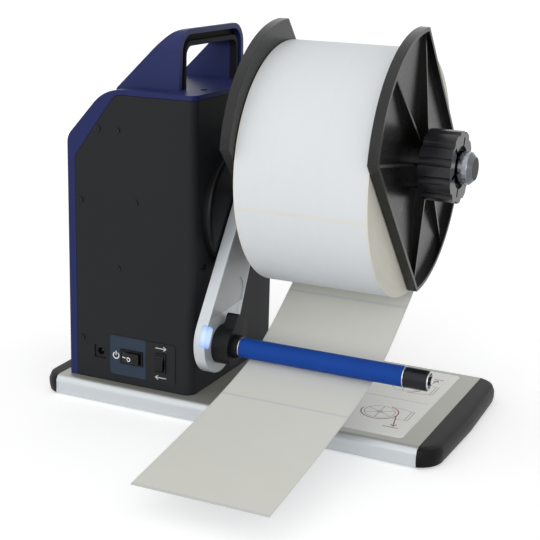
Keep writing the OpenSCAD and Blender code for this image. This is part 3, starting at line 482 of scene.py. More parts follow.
@dataclass(frozen=True)
class Metallic(Finish):
    """Silver lacquer with a fine metal flake under a thin clear coat."""

    flake: float = 0.16 * MM
    metal: float = 0.35
    peel: float = 1.8 * MM
    relief: float = 0.02 * MM
    cloud_scale: float = 16.0
    coat: float = 0.15
    coat_rough: float = 0.3

    def paint(self, g: Graph) -> Material:
        """Flakes lighten the colour and break the gloss."""
        at = g.place()
        grid = {"Vector": at, "Scale": 1 / self.flake}
        cells = g.node("ShaderNodeTexVoronoi", {}, grid, "Distance")
        cloud = g.noise(at, self.cloud_scale, detail=3.0)
        peel = g.noise(at, 1 / self.peel, detail=1.0)
        tone = g.shades(cells.mean(cloud), self.colour, 1.08, 0.9)
        rough = self.rough + cells.sway(0.14, 0.4) + cloud.sway(0.1)
        return g.surface(
            Base_Color=tone, Roughness=rough, Metallic=self.metal, Normal=g.bump(peel, self.relief),
            Coat_Weight=self.coat, Coat_Roughness=self.coat_rough,
        )


@dataclass(frozen=True)
class Paper(Finish):
    """Paper with fibres and a soft mottle."""

    fibre: float = 0.5 * MM
    mottle: float = 0.03
    relief: float = 0.006 * MM
    gloss: float = 0.2
    streak: float = 0.0
    streak_w: float = 7 * MM
    streak_shade: float = 0.8
    cloud_scale: float = 45.0

    def fibres(self, g: Graph) -> Wire:
        """The paper's fibres."""
        return g.noise(g.place(), 1 / self.fibre, detail=3.0, rough=0.6)

    def tone(self, g: Graph) -> Wire:
        """Mottled paper colour with its prints and, where it has them, streaks along the web."""
        cloud = g.noise(g.place(), self.cloud_scale, detail=3.0)
        share = self.fibres(g).mean(cloud)
        tone = g.shades(share, self.colour, 1 - self.mottle, 1 + self.mottle)
        if self.streak:
            x, _, _ = g.axes(g.place())
            lines = g.noise(g.vector(x / self.streak_w, 0.0, 0.0), 1.0, detail=3.0, rough=0.6)
            dark = scaled(self.colour, self.streak_shade)
            tone = g.mix(lines.step(0.35, 0.75) * self.streak, tone, dark)
        return self.printed(g, tone)

    def paint(self, g: Graph) -> Material:
        """Fibres in colour and normal."""
        return self.finish(g, self.tone(g))

    def finish(self, g: Graph, tone: Wire) -> Material:
        """Closes the paper with that colour."""
        fibres = self.fibres(g)
        rough = self.rough + fibres.sway(0.12)
        return g.surface(
            Base_Color=tone, Roughness=rough, Normal=g.bump(fibres, self.relief),
            Specular_IOR_Level=self.gloss,
        )


@dataclass(frozen=True)
class WoundPaper(Paper):
    """The roll's liner, whose ends show the edges of its layers as rings."""

    edge: Colour = (0.66, 0.645, 0.56)
    layer: float = 0.3 * MM
    band: float = 5 * MM
    band_slice: float = 3.0
    blotch_scale: float = 30.0
    blotch_shade: float = 0.8
    blotch_share: float = 0.3

    def paint(self, g: Graph) -> Material:
        """Rings by the distance from the roll's axis, on the ends alone."""
        _, radius = g.around(ROLL)
        fine = g.noise(g.vector(radius / self.layer, 0.0, 0.0), 1.0)
        bands = g.noise(g.vector(radius / self.band, self.band_slice, 0.0), 1.0, detail=3.0)
        # Darker blotches at random over the ring colour.
        blotch = g.noise(g.place(), self.blotch_scale, detail=3.0)
        rings = g.shades(fine.mean(bands), self.edge, 0.86, 1.16)
        dark = scaled(self.edge, self.blotch_shade)
        rings = g.mix(blotch.step(0.52, 0.78) * self.blotch_share, rings, dark)
        facing, _, _ = g.facing()
        return self.finish(g, g.mix(abs(facing) > SIDEWAYS, self.tone(g), rings))


@dataclass(frozen=True)
class BackedPaper(Paper):
    """The strip's liner, through which the gaps between its labels show.

    It reads the strip's UV map, and its lengths are in millimetres.
    """

    gap_colour: Colour = (0.5, 0.5, 0.5)
    flat: Pair = (107.0, 333.46)
    gaps: tuple[float, ...] = (57.0, 193.8, 332.0)
    gap: float = 2.8
    gap_soft: float = 0.5
    margin: float = 1.3
    margin_soft: float = 0.25
    margin_share: float = 0.45

    def paint(self, g: Graph) -> Material:
        """Gaps by the length along the strip and a margin by the distance from its edges."""
        u, v, _ = g.axes(g.node("ShaderNodeTexCoord", out="UV"))
        width, length = self.flat
        run = v * length
        edge = width / 2 - self.margin
        border = (abs(u - 0.5) * width).step(edge - self.margin_soft, edge + self.margin_soft)
        shows = border * self.margin_share
        low, high = self.gap / 2 - self.gap_soft, self.gap / 2 + self.gap_soft
        for place in self.gaps:
            shows = shows | (1 - abs(run - place).step(low, high))
        return self.finish(g, g.mix(shows, self.tone(g), self.gap_colour))


@dataclass(frozen=True)
class Lit(Finish):
    """A frosted window with a lamp behind it, palest over the lamp and deeper at its rim."""

    rim: Colour = (0.2, 0.3, 1.0)
    middle: Triple = (0.0, 0.0, 0.0)
    reach: Pair = (7 * MM, 13 * MM)
    strength: float = 1.0
    frost: float = 0.5 * MM
    scatter: float = 1.5 * MM
    relief: float = 0.01 * MM
    unlit: float = 0.35

    def paint(self, g: Graph) -> Material:
        """A glow by the distance from the lamp, broken by the frosting."""
        frost = g.noise(g.place(), 1 / self.frost)
        x, y, z = g.axes(g.place(shift=self.middle))
        off = (x * x + y * y + z * z) ** 0.5 + frost.sway(self.scatter)
        glow = g.mix(off.step(*self.reach), self.colour, self.rim)
        return g.surface(
            Base_Color=scaled(self.colour, self.unlit), Roughness=self.rough + frost.sway(0.2),
            Emission_Color=glow, Emission_Strength=self.strength,
            Normal=g.bump(frost, self.relief),
        )


def middle_of(node: str) -> Triple:
    """The middle of a node's box."""
    low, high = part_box(node)
    return tuple((low + high) / 2)


WHITE_INK: Colour = (0.80, 0.81, 0.82)
POWER_SIGN = Ink(
    WHITE_INK, 0.85, lines=((-109.3, 41.6, -109.3, 45.2),), arcs=((-109.3, 41.3, 2.75, 125, 415),)
)
ROCKER_SIGNS = Ink(
    WHITE_INK, 0.8, lines=((-102.6, 41.2, -98.8, 41.2),), arcs=((-95.3, 40.7, 1.55, 0, 360),)
)
WINDING_SIGNS = Ink(
    (0.55, 0.56, 0.57), 0.75,
    lines=((-71, 54.4, -60.8, 54.4), (-63.4, 56.2, -60.8, 54.4), (-63.4, 52.6, -60.8, 54.4),
           (-71, 28.6, -60.8, 28.6), (-68.4, 30.4, -71, 28.6), (-68.4, 26.8, -71, 28.6)),
)
# Painted shadow: black strokes along the inlet face's top and right edges.
INLET_SHADE = Ink(
    (0.001, 0.001, 0.001), 2, lines=((-130, 47.4, -119, 47.4), (-119.6, 36, -119.6, 48.4))
)
# A pale dot on the pin: its bright metal, with a painted glint.
INLET_PIN_GLINT = Ink((0.75, 0.75, 0.72), 0.9, arcs=((-124.5, 42.6, 0.3, 0, 360),))
SHEET_LINES = Ink(
    (0.13, 0.135, 0.14), 0.46, axes=(0, 1), fold=0.8,
    lines=((102, 28, 123, 39), (112.5, 21.4, 112.5, 45.6), (102, 39, 123, 28),
           (136.4, 22, 136.4, 42), (138.8, 22, 138.8, 42), (136.4, 22, 138.8, 22),
           (136.4, 42, 138.8, 42), (121, 18.5, 136.4, 22), (126.5, 42.8, 136.4, 42)),
    arcs=((112.5, 33.5, 2.2, 0, 360), (112.5, 33.5, 12.6, 0, 360)),
)
SHEET_DIVIDER = Ink((0.16, 0.18, 0.21), 0.4, axes=(0, 1), lines=((52, 1.2, 142.5, 1.2),))
SHEET_ARROWS = Ink(
    (0.20, 0.012, 0.03), 1, axes=(0, 1), fold=0.8,
    lines=((127.6, 36, 132.6, 58), (132.6, 58, 129.4, 54.6), (132.6, 58, 134.3, 53.6),
           (124.6, 60.4, 137.4, 60.4)),
    arcs=((112.5, 33.5, 15.3, -70, 190),),
)


class Skin(Enum):
    """The finishes of the rewinder's pieces."""

    # The base's top is painted darker and warmer than its front: painted shade.
    ALUMINIUM = Drawn("satin_anodised_extrusion", (0.59, 0.62, 0.645), 0.44, top=(0.41, 0.41, 0.37))
    CAP = Moulded("black_end_cap", (0.0058, 0.0058, 0.0054), 0.42, gloss=0.11)
    FOOT = Moulded("soft_foot_rubber", (0.012, 0.012, 0.012), 0.75, 0.6 * MM, 0.03 * MM, 0.2)
    SHELL = Coated("charcoal_fine_texture_paint", (0.019, 0.0198, 0.0222), 0.5, gloss=0.10)
    COVER = Coated("navy_semi_gloss_paint", (0.0205, 0.027, 0.102), 0.34, 2.2 * MM, 0.02 * MM, 0.10)
    HANDLE = Moulded(
        "navy_handle_moulding", (0.025, 0.0325, 0.114), 0.34, 0.4 * MM, 0.008 * MM, 0.11
    )
    # The channel behind the lip is darkened: painted shade.
    LINER = Moulded(
        "dark_grey_moulding", (0.013, 0.0135, 0.018), 0.5, gloss=0.05,
        recess_x=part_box("handle_liner")[1].x - LINER_LIP,
    )
    SCREW = Turned("blackened_screw", (0.036, 0.036, 0.039), 0.3)
    SLATE = Moulded(
        "slate_switch_plate", (0.024, 0.037, 0.062), 0.42, 0.4 * MM, 0.006 * MM, 0.2,
        inks=(POWER_SIGN,),
    )
    PLATE = Coated(
        "charcoal_switch_plate", (0.010, 0.0105, 0.012), 0.5, gloss=0.22, inks=(WINDING_SIGNS,)
    )
    GLOSS = Moulded(
        "gloss_black_switch", (0.005, 0.005, 0.0055), 0.24, 0.6 * MM, 0.003 * MM, 0.22, 0.1
    )
    POWER = Moulded(
        "marked_black_rocker", (0.005, 0.005, 0.0055), 0.26, 0.6 * MM, 0.003 * MM, 0.25, 0.1,
        inks=(ROCKER_SIGNS,),
    )
    # Its inks are a painted shadow round the face and a painted glint on the pin.
    INLET = Moulded(
        "black_inlet", (0.010, 0.0105, 0.012), 0.4, 0.6 * MM, 0.003 * MM, 0.2, 0.1,
        inks=(INLET_SHADE, INLET_PIN_GLINT),
    )
    STEEL = Turned("turned_steel", (0.62, 0.62, 0.61), 0.26)
    PLAIN_ALUMINIUM = Drawn("milled_aluminium", (0.66, 0.665, 0.67), 0.36)
    PULLEY = Moulded("black_pulley_plastic", (0.03, 0.03, 0.032), 0.5)
    MOTOR = Turned("zinc_plated_motor_case", (0.42, 0.42, 0.40), 0.36, MOTOR_AXIS)
    BOARD = Coated("green_board_mask", (0.01, 0.075, 0.03), 0.34, 0.8 * MM, 0.015 * MM)
    BRASS = Turned("brass_bush", (0.68, 0.46, 0.19), 0.3, PIVOT)
    ARM = Metallic("silver_arm_lacquer", (0.56, 0.60, 0.63), 0.36)
    ARM_COVER = Metallic("silver_cover_lacquer", (0.43, 0.45, 0.465), 0.4)
    WINDOW = Lit(
        "frosted_lit_window", (0.55, 0.72, 1.0), 0.3, rim=(0.12, 0.24, 0.95),
        middle=middle_of("arm_light"), reach=(4 * MM, 12 * MM), strength=0.9,
    )
    BLACK = Moulded("black_grained_moulding", (0.005, 0.0054, 0.0062), 0.4, gloss=0.17)
    KNOB = Moulded("black_knob_moulding", (0.0065, 0.0068, 0.009), 0.26, 0.5 * MM, 0.004 * MM, 0.46)
    STOP = Moulded("black_end_stop", (0.006, 0.0072, 0.011), 0.24, 0.5 * MM, 0.004 * MM, 0.3)
    FLANGE = Moulded(
        "black_flange_moulding", (0.003, 0.003, 0.0026), 0.28, 0.5 * MM, 0.012 * MM, 0.40, 0.2
    )
    RUBBER = Moulded(
        "blue_roller_rubber", (0.0085, 0.055, 0.30), 0.5, 0.5 * MM, 0.015 * MM, 0.1, 0.08
    )
    # The spindle's nose gets a painted dark reflection on its end and chamfer.
    NOSE = Turned("turned_spindle_nose", (0.27, 0.28, 0.30), 0.12, SPINDLE, end=0.09)
    RING = Turned("turned_roller_ring", (0.62, 0.63, 0.64), 0.24, ROLLER)
    # The washer's recess is darkened: painted shade.
    END = Turned("turned_end_washer", (0.58, 0.60, 0.62), 0.24, ROLLER, recess=(3.1 * MM, 6.3 * MM))
    CORE = Paper("spiral_core_board", (0.42, 0.33, 0.22), 0.75, 0.9 * MM, 0.12, 0.02 * MM)
    LABEL = Paper("label_face_paper", (0.725, 0.752, 0.767), 0.5, streak=0.06)
    SHEET = Paper(
        "printed_sheet_film", (0.885, 0.885, 0.84), 0.42,
        inks=(SHEET_DIVIDER, SHEET_LINES, SHEET_ARROWS),
    )
    LINER_PAPER = WoundPaper("liner_paper_roll", (0.745, 0.735, 0.70), 0.5)
    LINER_WEB = BackedPaper(
        "liner_paper_web", (0.71, 0.71, 0.655), 0.42, gap_colour=(0.62, 0.64, 0.63)
    )


def deselect() -> None:
    """Clears the selection."""
    for item in bpy.context.selected_objects:
        item.select_set(False)


def activate(piece: Piece) -> None:
    """Selects one object alone and makes it the active one."""
    deselect()
    piece.select_set(True)
    bpy.context.view_layer.objects.active = piece


@contextmanager
def editing(piece: Piece) -> Iterator[None]:
    """Edit mode on one object for the length of a with block."""
    activate(piece)
    bpy.ops.object.mode_set(mode="EDIT")
    try:
        yield
    finally:
        bpy.ops.object.mode_set(mode="OBJECT")


def pick(piece: Piece, test: Callable[[Any], bool], kind: str = "FACE") -> None:
    """Selects faces or vertices in edit mode.

    Args:
        piece: the object in edit mode.
        test: says whether an element is taken.
        kind: FACE or VERT.
    """
    bpy.ops.mesh.select_mode(type=kind)
    bpy.ops.mesh.select_all(action="DESELECT")
    mesh = bmesh.from_edit_mesh(piece.data)
    for item in {"FACE": mesh.faces, "VERT": mesh.verts}[kind]:
        if test(item):
            item.select_set(True)
    mesh.select_flush_mode()
    bmesh.update_edit_mesh(piece.data)


def face_outwards() -> None:
    """Selects all in edit mode and turns the faces' normals to one side."""
    bpy.ops.mesh.select_all(action="SELECT")
    bpy.ops.mesh.normals_make_consistent(inside=False)


def fresh(name: str, add: Callable[..., Any], **settings: Any) -> Piece:
    """Adds a primitive.

    Args:
        name: the new object's name.
        add: the operator that adds it.
        settings: what the operator is told.
    Returns:
        The object, alone in the selection.
    """
    deselect()
    add(**settings)
    piece = bpy.context.object
    piece.name = name
    return piece


def settle(piece: Piece) -> None:
    """Moves an object's place into its mesh."""
    activate(piece)
    bpy.ops.object.transform_apply(location=True, rotation=True, scale=True)


def apply(piece: Piece, kind: str, **settings: Any) -> None:
    """Adds a modifier, sets it and applies it."""
    modifier = piece.modifiers.new(kind.lower(), kind)
    for key, value in settings.items():
        setattr(modifier, key, value)
    activate(piece)
    bpy.ops.object.modifier_apply(modifier=modifier.name)


def dress(piece: Piece, skin: Skin) -> None:
    """Gives a piece or a node one finish all over."""
    piece.data.materials.clear()
    piece.data.materials.append(skin.value.make())


def mount(piece: Piece, body: str, slot: str, skin: Skin, *nodes: str) -> Piece:
    """Dresses a new piece and puts it on its body.

    Args:
        piece: the finished piece.
        body: the body that it rides on.
        slot: the record's material slot; not used.
        skin: its finish.
        nodes: nodes that it stands for.
    Returns:
        The piece.
    """
    dress(piece, skin)
    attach(piece, body)
    if nodes:
        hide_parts(*nodes)
    log.info("%s rides on %s", piece.name, body)
    return piece


@dataclass
class Edge:
    """How a node's sharp edges are rounded."""

    radius: float
    segments: int = 2
    sharp: float = 34.0
    merge: float = 2e-6
    flat: float = 0.4
    weight: int = 60

    def round(self, node: str) -> Piece:
        """Makes a merged copy of a node with its sharp edges rounded.

        Args:
            node: the node's name.
        Returns:
            The copy, at the origin.
        """
        copy = bpy.data.objects.new(f"{node}_finished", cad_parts[node].data.copy())
        bpy.context.scene.collection.objects.link(copy)
        with editing(copy):
            bpy.ops.mesh.customdata_custom_splitnormals_clear()
            bpy.ops.mesh.select_all(action="SELECT")
            bpy.ops.mesh.remove_doubles(threshold=self.merge)
            bpy.ops.mesh.dissolve_limited(angle_limit=math.radians(self.flat))
        bpy.ops.object.shade_smooth()
        apply(
            copy, "BEVEL", width=self.radius, segments=self.segments, limit_method="ANGLE",
            angle_limit=math.radians(self.sharp), use_clamp_overlap=True, miter_outer="MITER_ARC",
        )
        apply(copy, "WEIGHTED_NORMAL", keep_sharp=False, weight=self.weight)
        return copy


@dataclass(frozen=True)
class Look:
    """How a node is finished; with an edge radius, a rounded copy on a body stands for it."""

    skin: Skin
    radius: float = 0.0
    slot: str = ""
    body: str = "machine"

    def put_on(self, node: str) -> None:
        """Dresses the node or mounts its copy."""
        if self.radius:
            mount(Edge(self.radius).round(node), self.body, self.slot, self.skin, node)
        else:
            dress(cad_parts[node], self.skin)


Looks = dict[str, Look]


@dataclass
class Assembly:
    """A group of nodes and new pieces that belong together."""

    looks: ClassVar[Looks] = {}

    def build(self) -> None:
        """Makes the pieces that are new."""

    def finish(self) -> None:
        """Finishes the group's nodes, then adds its new pieces."""
        for name, look in self.looks.items():
            look.put_on(name)
        self.build()


@dataclass
class Base(Assembly):
    """Extruded base plate with its caps, feet and top sheet."""

    sheet_size: Pair = (0.100, 0.156)
    sheet_middle: Pair = (0.097, 0.001)
    sheet_corner: float = 4 * MM
    corner_steps: int = 8
    sheet_t: float = 0.12 * MM

    looks: ClassVar[Looks] = {
        "base_plate": Look(Skin.ALUMINIUM, 0.5 * MM, "anodised_base"),
        "end_cap_left": Look(Skin.CAP, 0.8 * MM, "black_moulding"),
        "end_cap_right": Look(Skin.CAP, 0.8 * MM, "black_moulding"),
        "rubber_feet": Look(Skin.FOOT),
    }

    def build(self) -> None:
        """Adds the top sheet, a thin film with round corners."""
        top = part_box("base_plate")[1].z
        sheet = fresh(
            "base_top_sheet", bpy.ops.mesh.primitive_plane_add, size=1.0,
            location=(*self.sheet_middle, top),
        )
        sheet.scale = (*self.sheet_size, 1.0)
        settle(sheet)
        with editing(sheet):
            bpy.ops.mesh.select_all(action="SELECT")
            bpy.ops.mesh.bevel(
                offset=self.sheet_corner, segments=self.corner_steps, affect="VERTICES"
            )
            bpy.ops.mesh.select_all(action="SELECT")
            bpy.ops.mesh.extrude_region_move(TRANSFORM_OT_translate={"value": (0, 0, self.sheet_t)})
            face_outwards()
        mount(sheet, "machine", "label_paper", Skin.SHEET)


@dataclass
class Housing(Assembly):
    """Painted shell, cover, handle and their screws."""

    looks: ClassVar[Looks] = {
        "housing_shell": Look(Skin.SHELL, 0.5 * MM, "charcoal_shell"),
        "housing_cover": Look(Skin.COVER, 0.5 * MM, "navy_cover"),
        "carry_handle": Look(Skin.HANDLE, 0.5 * MM, "navy_moulding"),
        "handle_liner": Look(Skin.LINER, 0.4 * MM, "grey_moulding"),
        "panel_screws": Look(Skin.SCREW),
        "cover_screws": Look(Skin.SCREW),
        "side_screws": Look(Skin.SCREW),
    }


@dataclass
class Panel(Assembly):
    """Switches, their plates and the inlet."""

    looks: ClassVar[Looks] = {
        "switch_plate": Look(Skin.SLATE, 0.12 * MM, "slate_plate"),
        "direction_plate": Look(Skin.PLATE),
        "power_switch_body": Look(Skin.GLOSS),
        "direction_switch_body": Look(Skin.GLOSS),
        "power_rocker": Look(Skin.POWER, 0.3 * MM, "gloss_black", "power_button"),
        "direction_rocker": Look(Skin.GLOSS, 0.3 * MM, "gloss_black", "direction_button"),
        "dc_inlet": Look(Skin.INLET, 0.15 * MM, "gloss_black"),
    }


@dataclass
class Drive(Assembly):
    """What is inside the housing."""

    looks: ClassVar[Looks] = {
        "frame_plate": Look(Skin.PLAIN_ALUMINIUM),
        "frame_screws": Look(Skin.STEEL),
        "bearing_housing": Look(Skin.PLAIN_ALUMINIUM),
        "spindle_bearings": Look(Skin.STEEL),
        "driven_pulley": Look(Skin.PULLEY),
        "drive_motor": Look(Skin.MOTOR),
        "motor_shaft": Look(Skin.STEEL),
        "motor_pulley": Look(Skin.PULLEY),
        "drive_belt": Look(Skin.FOOT),
        "control_board": Look(Skin.BOARD),
        "board_standoffs": Look(Skin.BRASS),
        "arm_sensor": Look(Skin.BLACK),
    }


@dataclass
class TensionArm(Assembly):
    """Boss, arm, lit window and collar."""

    looks: ClassVar[Looks] = {
        "arm_boss": Look(Skin.BLACK, 0.8 * MM, "black_moulding"),
        "arm_bush": Look(Skin.BRASS),
        "arm_shaft": Look(Skin.STEEL),
        "tension_arm": Look(Skin.ARM, 1.2 * MM, "silver_arm", "arm"),
        "arm_cover": Look(Skin.ARM_COVER),
        "arm_light": Look(Skin.WINDOW, 0.5 * MM, "lit_window", "arm"),
        "roller_collar": Look(Skin.BLACK, 0.9 * MM, "black_moulding", "arm"),
    }


@dataclass
class GuideRoller(Assembly):
    """Blue roller with its rings and end."""

    looks: ClassVar[Looks] = {
        "roller_shaft": Look(Skin.RING),
        "roller_tube": Look(Skin.RING),
        "roller_sleeve": Look(Skin.RUBBER, 0.35 * MM, "blue_rubber", "guide_roller"),
        "roller_rings": Look(Skin.RING, 0.15 * MM, "bare_steel", "guide_roller"),
        "roller_end_stop": Look(Skin.STOP, 0.4 * MM, "black_moulding", "arm"),
        "roller_end_screw": Look(Skin.END, 0.15 * MM, "bare_steel", "arm"),
    }


@dataclass
class RollHolder(Assembly):
    """Spindle, hub, flanges and knob."""

    looks: ClassVar[Looks] = {
        "spindle_shaft": Look(Skin.NOSE, 0.4 * MM, "bare_steel", "spindle"),
        "core_hub": Look(Skin.BLACK),
        "inner_flange": Look(Skin.FLANGE, 0.5 * MM, "black_moulding", "spindle"),
        "outer_flange": Look(Skin.FLANGE, 0.5 * MM, "black_moulding", "clamp_flange"),
        "lock_knob": Look(Skin.KNOB, 0.6 * MM, "black_moulding", "clamp_knob"),
    }


@dataclass
class LabelRoll(Assembly):
    """Core and the labels wound on it."""

    looks: ClassVar[Looks] = {"roll_core": Look(Skin.CORE)}

    pitch_turn: float = 120.0
    gap_turn: float = 192.5
    gap: float = 3.0 * MM
    label_w: float = 106.2 * MM
    label_t: float = 0.09 * MM
    label_steps: int = 64
    corner: float = 2.0 * MM
    corner_steps: int = 4
    sides: int = 180
    rings: int = 26
    ripple: float = 0.16 * MM
    ripple_turns: Pair = (2.1, 0.7)
    core_play: float = 0.2 * MM
    crease: float = 30.0

    def build(self) -> None:
        """Winds the liner and lays the outer labels on it."""
        low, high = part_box("label_roll")
        radius = (high.z - low.z) / 2
        middle = (low + high) / 2
        self.wind(radius - self.label_t, high.x - low.x, middle)
        for i in range(round(360 / self.pitch_turn)):
            self.lay(i, radius, middle)

    def wind(self, radius: float, width: float, middle: Vector) -> None:
        """Makes the wound body, whose ends step in and out with its layers.

        Args:
            radius: outer radius of the liner.
            width: length along the axis.
            middle: its middle.
        """
        core_low, core_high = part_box("roll_core")
        bore = (core_high.z - core_low.z) / 2
        roll = fresh(
            "wound_liner", bpy.ops.mesh.primitive_cylinder_add, vertices=self.sides, radius=radius,
            depth=width, location=middle, rotation=(0, math.pi / 2, 0),
        )
        settle(roll)
        step = (radius - bore - self.core_play) / self.rings
        fast, slow = self.ripple_turns
        with editing(roll):
            pick(roll, lambda f: len(f.verts) > 4)
            for i in range(self.rings):
                depth = self.ripple * math.sin(fast * i) * math.cos(slow * i)
                bpy.ops.mesh.inset(thickness=step, depth=depth, use_even_offset=True)
            bpy.ops.mesh.delete(type="FACE")
            bpy.ops.mesh.select_mode(type="EDGE")
            bpy.ops.mesh.select_non_manifold()
            bpy.ops.mesh.bridge_edge_loops()
        activate(roll)
        bpy.ops.object.shade_smooth_by_angle(angle=math.radians(self.crease))
        mount(roll, "roll", "label_liner", Skin.LINER_PAPER, "label_roll")

    def lay(self, index: int, radius: float, middle: Vector) -> None:
        """Lays one label on the roll's outside.

        Args:
            index: which label.
            radius: radius that it lies on.
            middle: the roll's middle.
        """
        turn = math.radians(self.pitch_turn) - self.gap / radius
        start = math.radians(self.gap_turn + index * self.pitch_turn) + self.gap / radius / 2
        label = fresh(
            f"roll_label_{index + 1}", bpy.ops.mesh.primitive_grid_add, x_subdivisions=2,
            y_subdivisions=self.label_steps, size=1.0,
        )
        for vertex in label.data.vertices:
            angle = start + (vertex.co.y + 0.5) * turn
            vertex.co = (
                middle.x + vertex.co.x * self.label_w,
                middle.y + radius * math.cos(angle), middle.z + radius * math.sin(angle),
            )
        with editing(label):
            pick(label, lambda v: v.is_boundary and len(v.link_edges) == 2, "VERT")
            bpy.ops.mesh.bevel(offset=self.corner, segments=self.corner_steps, affect="VERTICES")
            face_outwards()
        bpy.ops.object.shade_smooth()
        mount(label, "roll", "label_paper", Skin.LABEL)


@dataclass
class LabelWeb(Assembly):
    """The free strip, from the roll under the roller to its cut end."""

    start: Vector = field(default_factory=lambda: Vector((56.84, 126.6)) * MM)
    mid: Vector = field(default_factory=lambda: Vector((-62.6, 54.64)) * MM)
    end: Vector = field(default_factory=lambda: Vector((-253.0, 20.8)) * MM)
    leave: float = 34.8
    under: float = 16.0
    slope: Pair = (-1.0, -0.14)
    reach: float = 188 / 3 * MM
    x_range: Pair = (9.65 * MM, 116.65 * MM)
    thick: float = 0.2 * MM
    label_t: float = 0.09 * MM
    gaps: tuple[float, ...] = (57.0, 193.8, 330.5)
    gap: float = 2.8 * MM
    margin: float = 1.3 * MM
    steps: int = 110
    columns: int = 24
    curve_steps: int = 200
    crease: float = 40.0

    def route(self) -> list[Vector]:
        """Points in (y, z) of two curves, from the roll to the roller and on to the cut end."""
        away, below = (
            -Vector((math.cos(turn), math.sin(turn)))
            for turn in (math.radians(self.leave), math.radians(self.under))
        )
        out = Vector(self.slope).normalized()
        span = (self.start - self.mid).length
        points: list[Vector] = []
        for a, b, c, d in (
            (self.start, self.start + away * span / 2, self.mid - below * span / 5, self.mid),
            (self.mid, self.mid + below * self.reach, self.end - out * self.reach, self.end),
        ):
            for i in range(self.curve_steps):
                t = i / self.curve_steps
                s = 1 - t
                points.append(a * s**3 + b * 3 * t * s**2 + c * 3 * t * t * s + d * t**3)
        return [*points, self.end]

    def path(self) -> list[Vector]:
        """The route's points, evenly spaced along it."""
        points = self.route()
        run = [0.0]
        for p, q in zip(points, points[1:]):
            run.append(run[-1] + (q - p).length)
        even: list[Vector] = []
        k = 0
        for i in range(self.steps + 1):
            goal = run[-1] * i / self.steps
            while k < len(run) - 2 and run[k + 1] < goal:
                k += 1
            share = (goal - run[k]) / (run[k + 1] - run[k])
            even.append(points[k].lerp(points[k + 1], share))
        return even

    def bend(self, name: str, run: Pair, across: Pair, sink: float, thick: float) -> Piece:
        """Bends a grid along part of the route and gives it its thickness.

        Args:
            name: the new sheet's name.
            run: shares of the route where it starts and stops.
            across: its edges along X.
            sink: how far its middle lies under the route.
            thick: its thickness.
        Returns:
            The sheet.
        """
        path = self.path()
        rows = round((run[1] - run[0]) * self.steps)
        sheet = fresh(
            name, bpy.ops.mesh.primitive_grid_add, x_subdivisions=self.columns,
            y_subdivisions=rows, size=1.0,
        )
        for vertex in sheet.data.vertices:
            at = (run[0] + (vertex.co.y + 0.5) * (run[1] - run[0])) * self.steps
            k = min(int(at), self.steps - 1)
            along = (path[k + 1] - path[k]).normalized()
            y, z = path[k].lerp(path[k + 1], at - k) + Vector((-along.y, along.x)) * sink
            vertex.co = (across[0] + (vertex.co.x + 0.5) * (across[1] - across[0]), y, z)
        with editing(sheet):
            face_outwards()
        apply(sheet, "SOLIDIFY", thickness=thick, offset=0.0)
        activate(sheet)
        bpy.ops.object.shade_smooth_by_angle(angle=math.radians(self.crease))
        return sheet

    def build(self) -> None:
        path = self.path()
        length = sum((q - p).length for p, q in zip(path, path[1:]))
        low, high = self.x_range
        web = self.bend("free_label_strip", (0.0, 1.0), self.x_range, 0.0, self.thick)
        mount(web, "machine", "label_liner", Skin.LINER_WEB, "label_web")
        edges = [0.0, *(place * MM / length for place in self.gaps)]
        half = self.gap / 2 / length
        for i, (start, stop) in enumerate(zip(edges, edges[1:])):
            label = self.bend(
                f"strip_label_{i + 1}", (start + half, stop - half),
                (low + self.margin, high - self.margin),
                (self.thick + self.label_t) / 2, self.label_t,
            )
            mount(label, "machine", "label_paper", Skin.LABEL)


@dataclass(frozen=True)
class Sun:
    """A soft light from far away; the wider its angle in degrees, the softer its shadows."""

    name: str
    towards: Triple
    strength: float
    angle: float

    def hang(self) -> None:
        """Adds the light; towards leads from the object to it."""
        data = bpy.data.lights.new(self.name, "SUN")
        data.energy, data.angle = self.strength, math.radians(self.angle)
        lamp = bpy.data.objects.new(self.name, data)
        bpy.context.scene.collection.objects.link(lamp)
        lamp.rotation_euler = Vector(self.towards).to_track_quat("Z", "Y").to_euler()


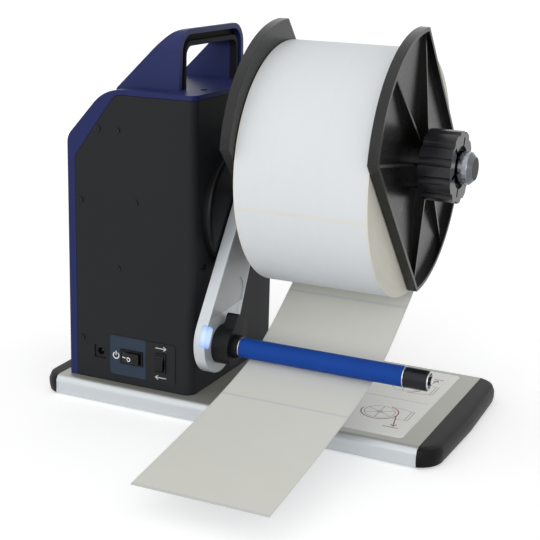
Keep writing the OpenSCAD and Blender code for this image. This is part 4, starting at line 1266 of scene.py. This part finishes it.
@dataclass
class Studio:
    """Camera, floor and soft light."""

    azimuth: float = 24.72
    elevation: float = 15.57
    roll: float = 1.56
    place: Vector = field(default_factory=lambda: Vector((427.5, -938.1, 399.8)) * MM)
    lens: float = 83.64
    sensor: float = 36.0
    clip_end: float = 100.0
    fill: float = 0.55
    floor_size: float = 60.0
    floor_drop: float = 0.2 * MM
    floor_colour: Colour = (0.82, 0.82, 0.82)
    floor_glow: float = 0.4
    suns: tuple[Sun, ...] = (
        Sun("front_key", (0.20, -0.95, 0.20), 1.15, 45.0),
        Sun("left_fill", (-0.62, -0.40, 0.68), 0.5, 80.0),
        Sun("right_fill", (0.66, -0.70, 0.22), 0.35, 70.0),
        Sun("back_fill", (0.4, 0.75, 0.8), 0.2, 90.0),
    )

    def camera(self) -> None:
        """Stands the camera where the photograph was taken from."""
        az, el, roll = (math.radians(a) for a in (self.azimuth, self.elevation, self.roll))
        back = Vector((math.sin(az) * math.cos(el), -math.cos(az) * math.cos(el), math.sin(el)))
        right = Vector((math.cos(az), math.sin(az), 0.0))
        up = back.cross(right)
        side = right * math.cos(roll) + up * math.sin(roll)
        head = up * math.cos(roll) - right * math.sin(roll)
        data = bpy.data.cameras.new("studio_camera")
        data.lens, data.sensor_width, data.clip_end = self.lens, self.sensor, self.clip_end
        eye = bpy.data.objects.new("studio_camera", data)
        bpy.context.scene.collection.objects.link(eye)
        turn = Matrix((side, head, back)).transposed().to_4x4()
        eye.matrix_world = Matrix.Translation(self.place) @ turn
        bpy.context.scene.camera = eye

    def world(self) -> None:
        """A white room: plain white to the eye and in reflections, softer as light."""
        world = bpy.data.worlds.new("white_room")
        bpy.context.scene.world = world
        g = Graph(world)
        levels = {"Value": g.seen(), "To Min": self.fill, "To Max": 1.0}
        level = g.node("ShaderNodeMapRange", {}, levels)
        white = {"Color": (1.0, 1.0, 1.0, 1.0), "Strength": level}
        g.close(g.node("ShaderNodeBackground", {}, white), "ShaderNodeOutputWorld")

    def floor(self) -> None:
        """A white floor that keeps the shadows."""
        floor = fresh(
            "studio_floor", bpy.ops.mesh.primitive_plane_add, size=self.floor_size,
            location=(0, 0, -self.floor_drop),
        )
        settle(floor)
        g = Graph(bpy.data.materials.new("white_floor"))
        matt = g.node("ShaderNodeBsdfDiffuse", {}, {"Color": (*self.floor_colour, 1.0)})
        glow = g.node("ShaderNodeEmission", {}, {"Strength": g.seen() * self.floor_glow})
        floor.data.materials.append(g.close(g.node("ShaderNodeAddShader", {}, {0: matt, 1: glow})))

    def build(self) -> None:
        """Sets up the whole studio."""
        bpy.context.scene.view_settings.view_transform = "Standard"
        self.camera()
        self.world()
        self.floor()
        for sun in self.suns:
            sun.hang()


def main() -> None:
    """Builds the studio and every sub-assembly in order."""
    logging.basicConfig(level=logging.INFO)
    deselect()
    Studio().build()
    for assembly in (
        LabelWeb(), LabelRoll(), Base(), Housing(), Panel(), Drive(), TensionArm(), GuideRoller(),
        RollHolder(),
    ):
        assembly.finish()
        log.info("%s is done", type(assembly).__name__)
    bpy.context.view_layer.update()


if __name__ == "__main__":
    main()
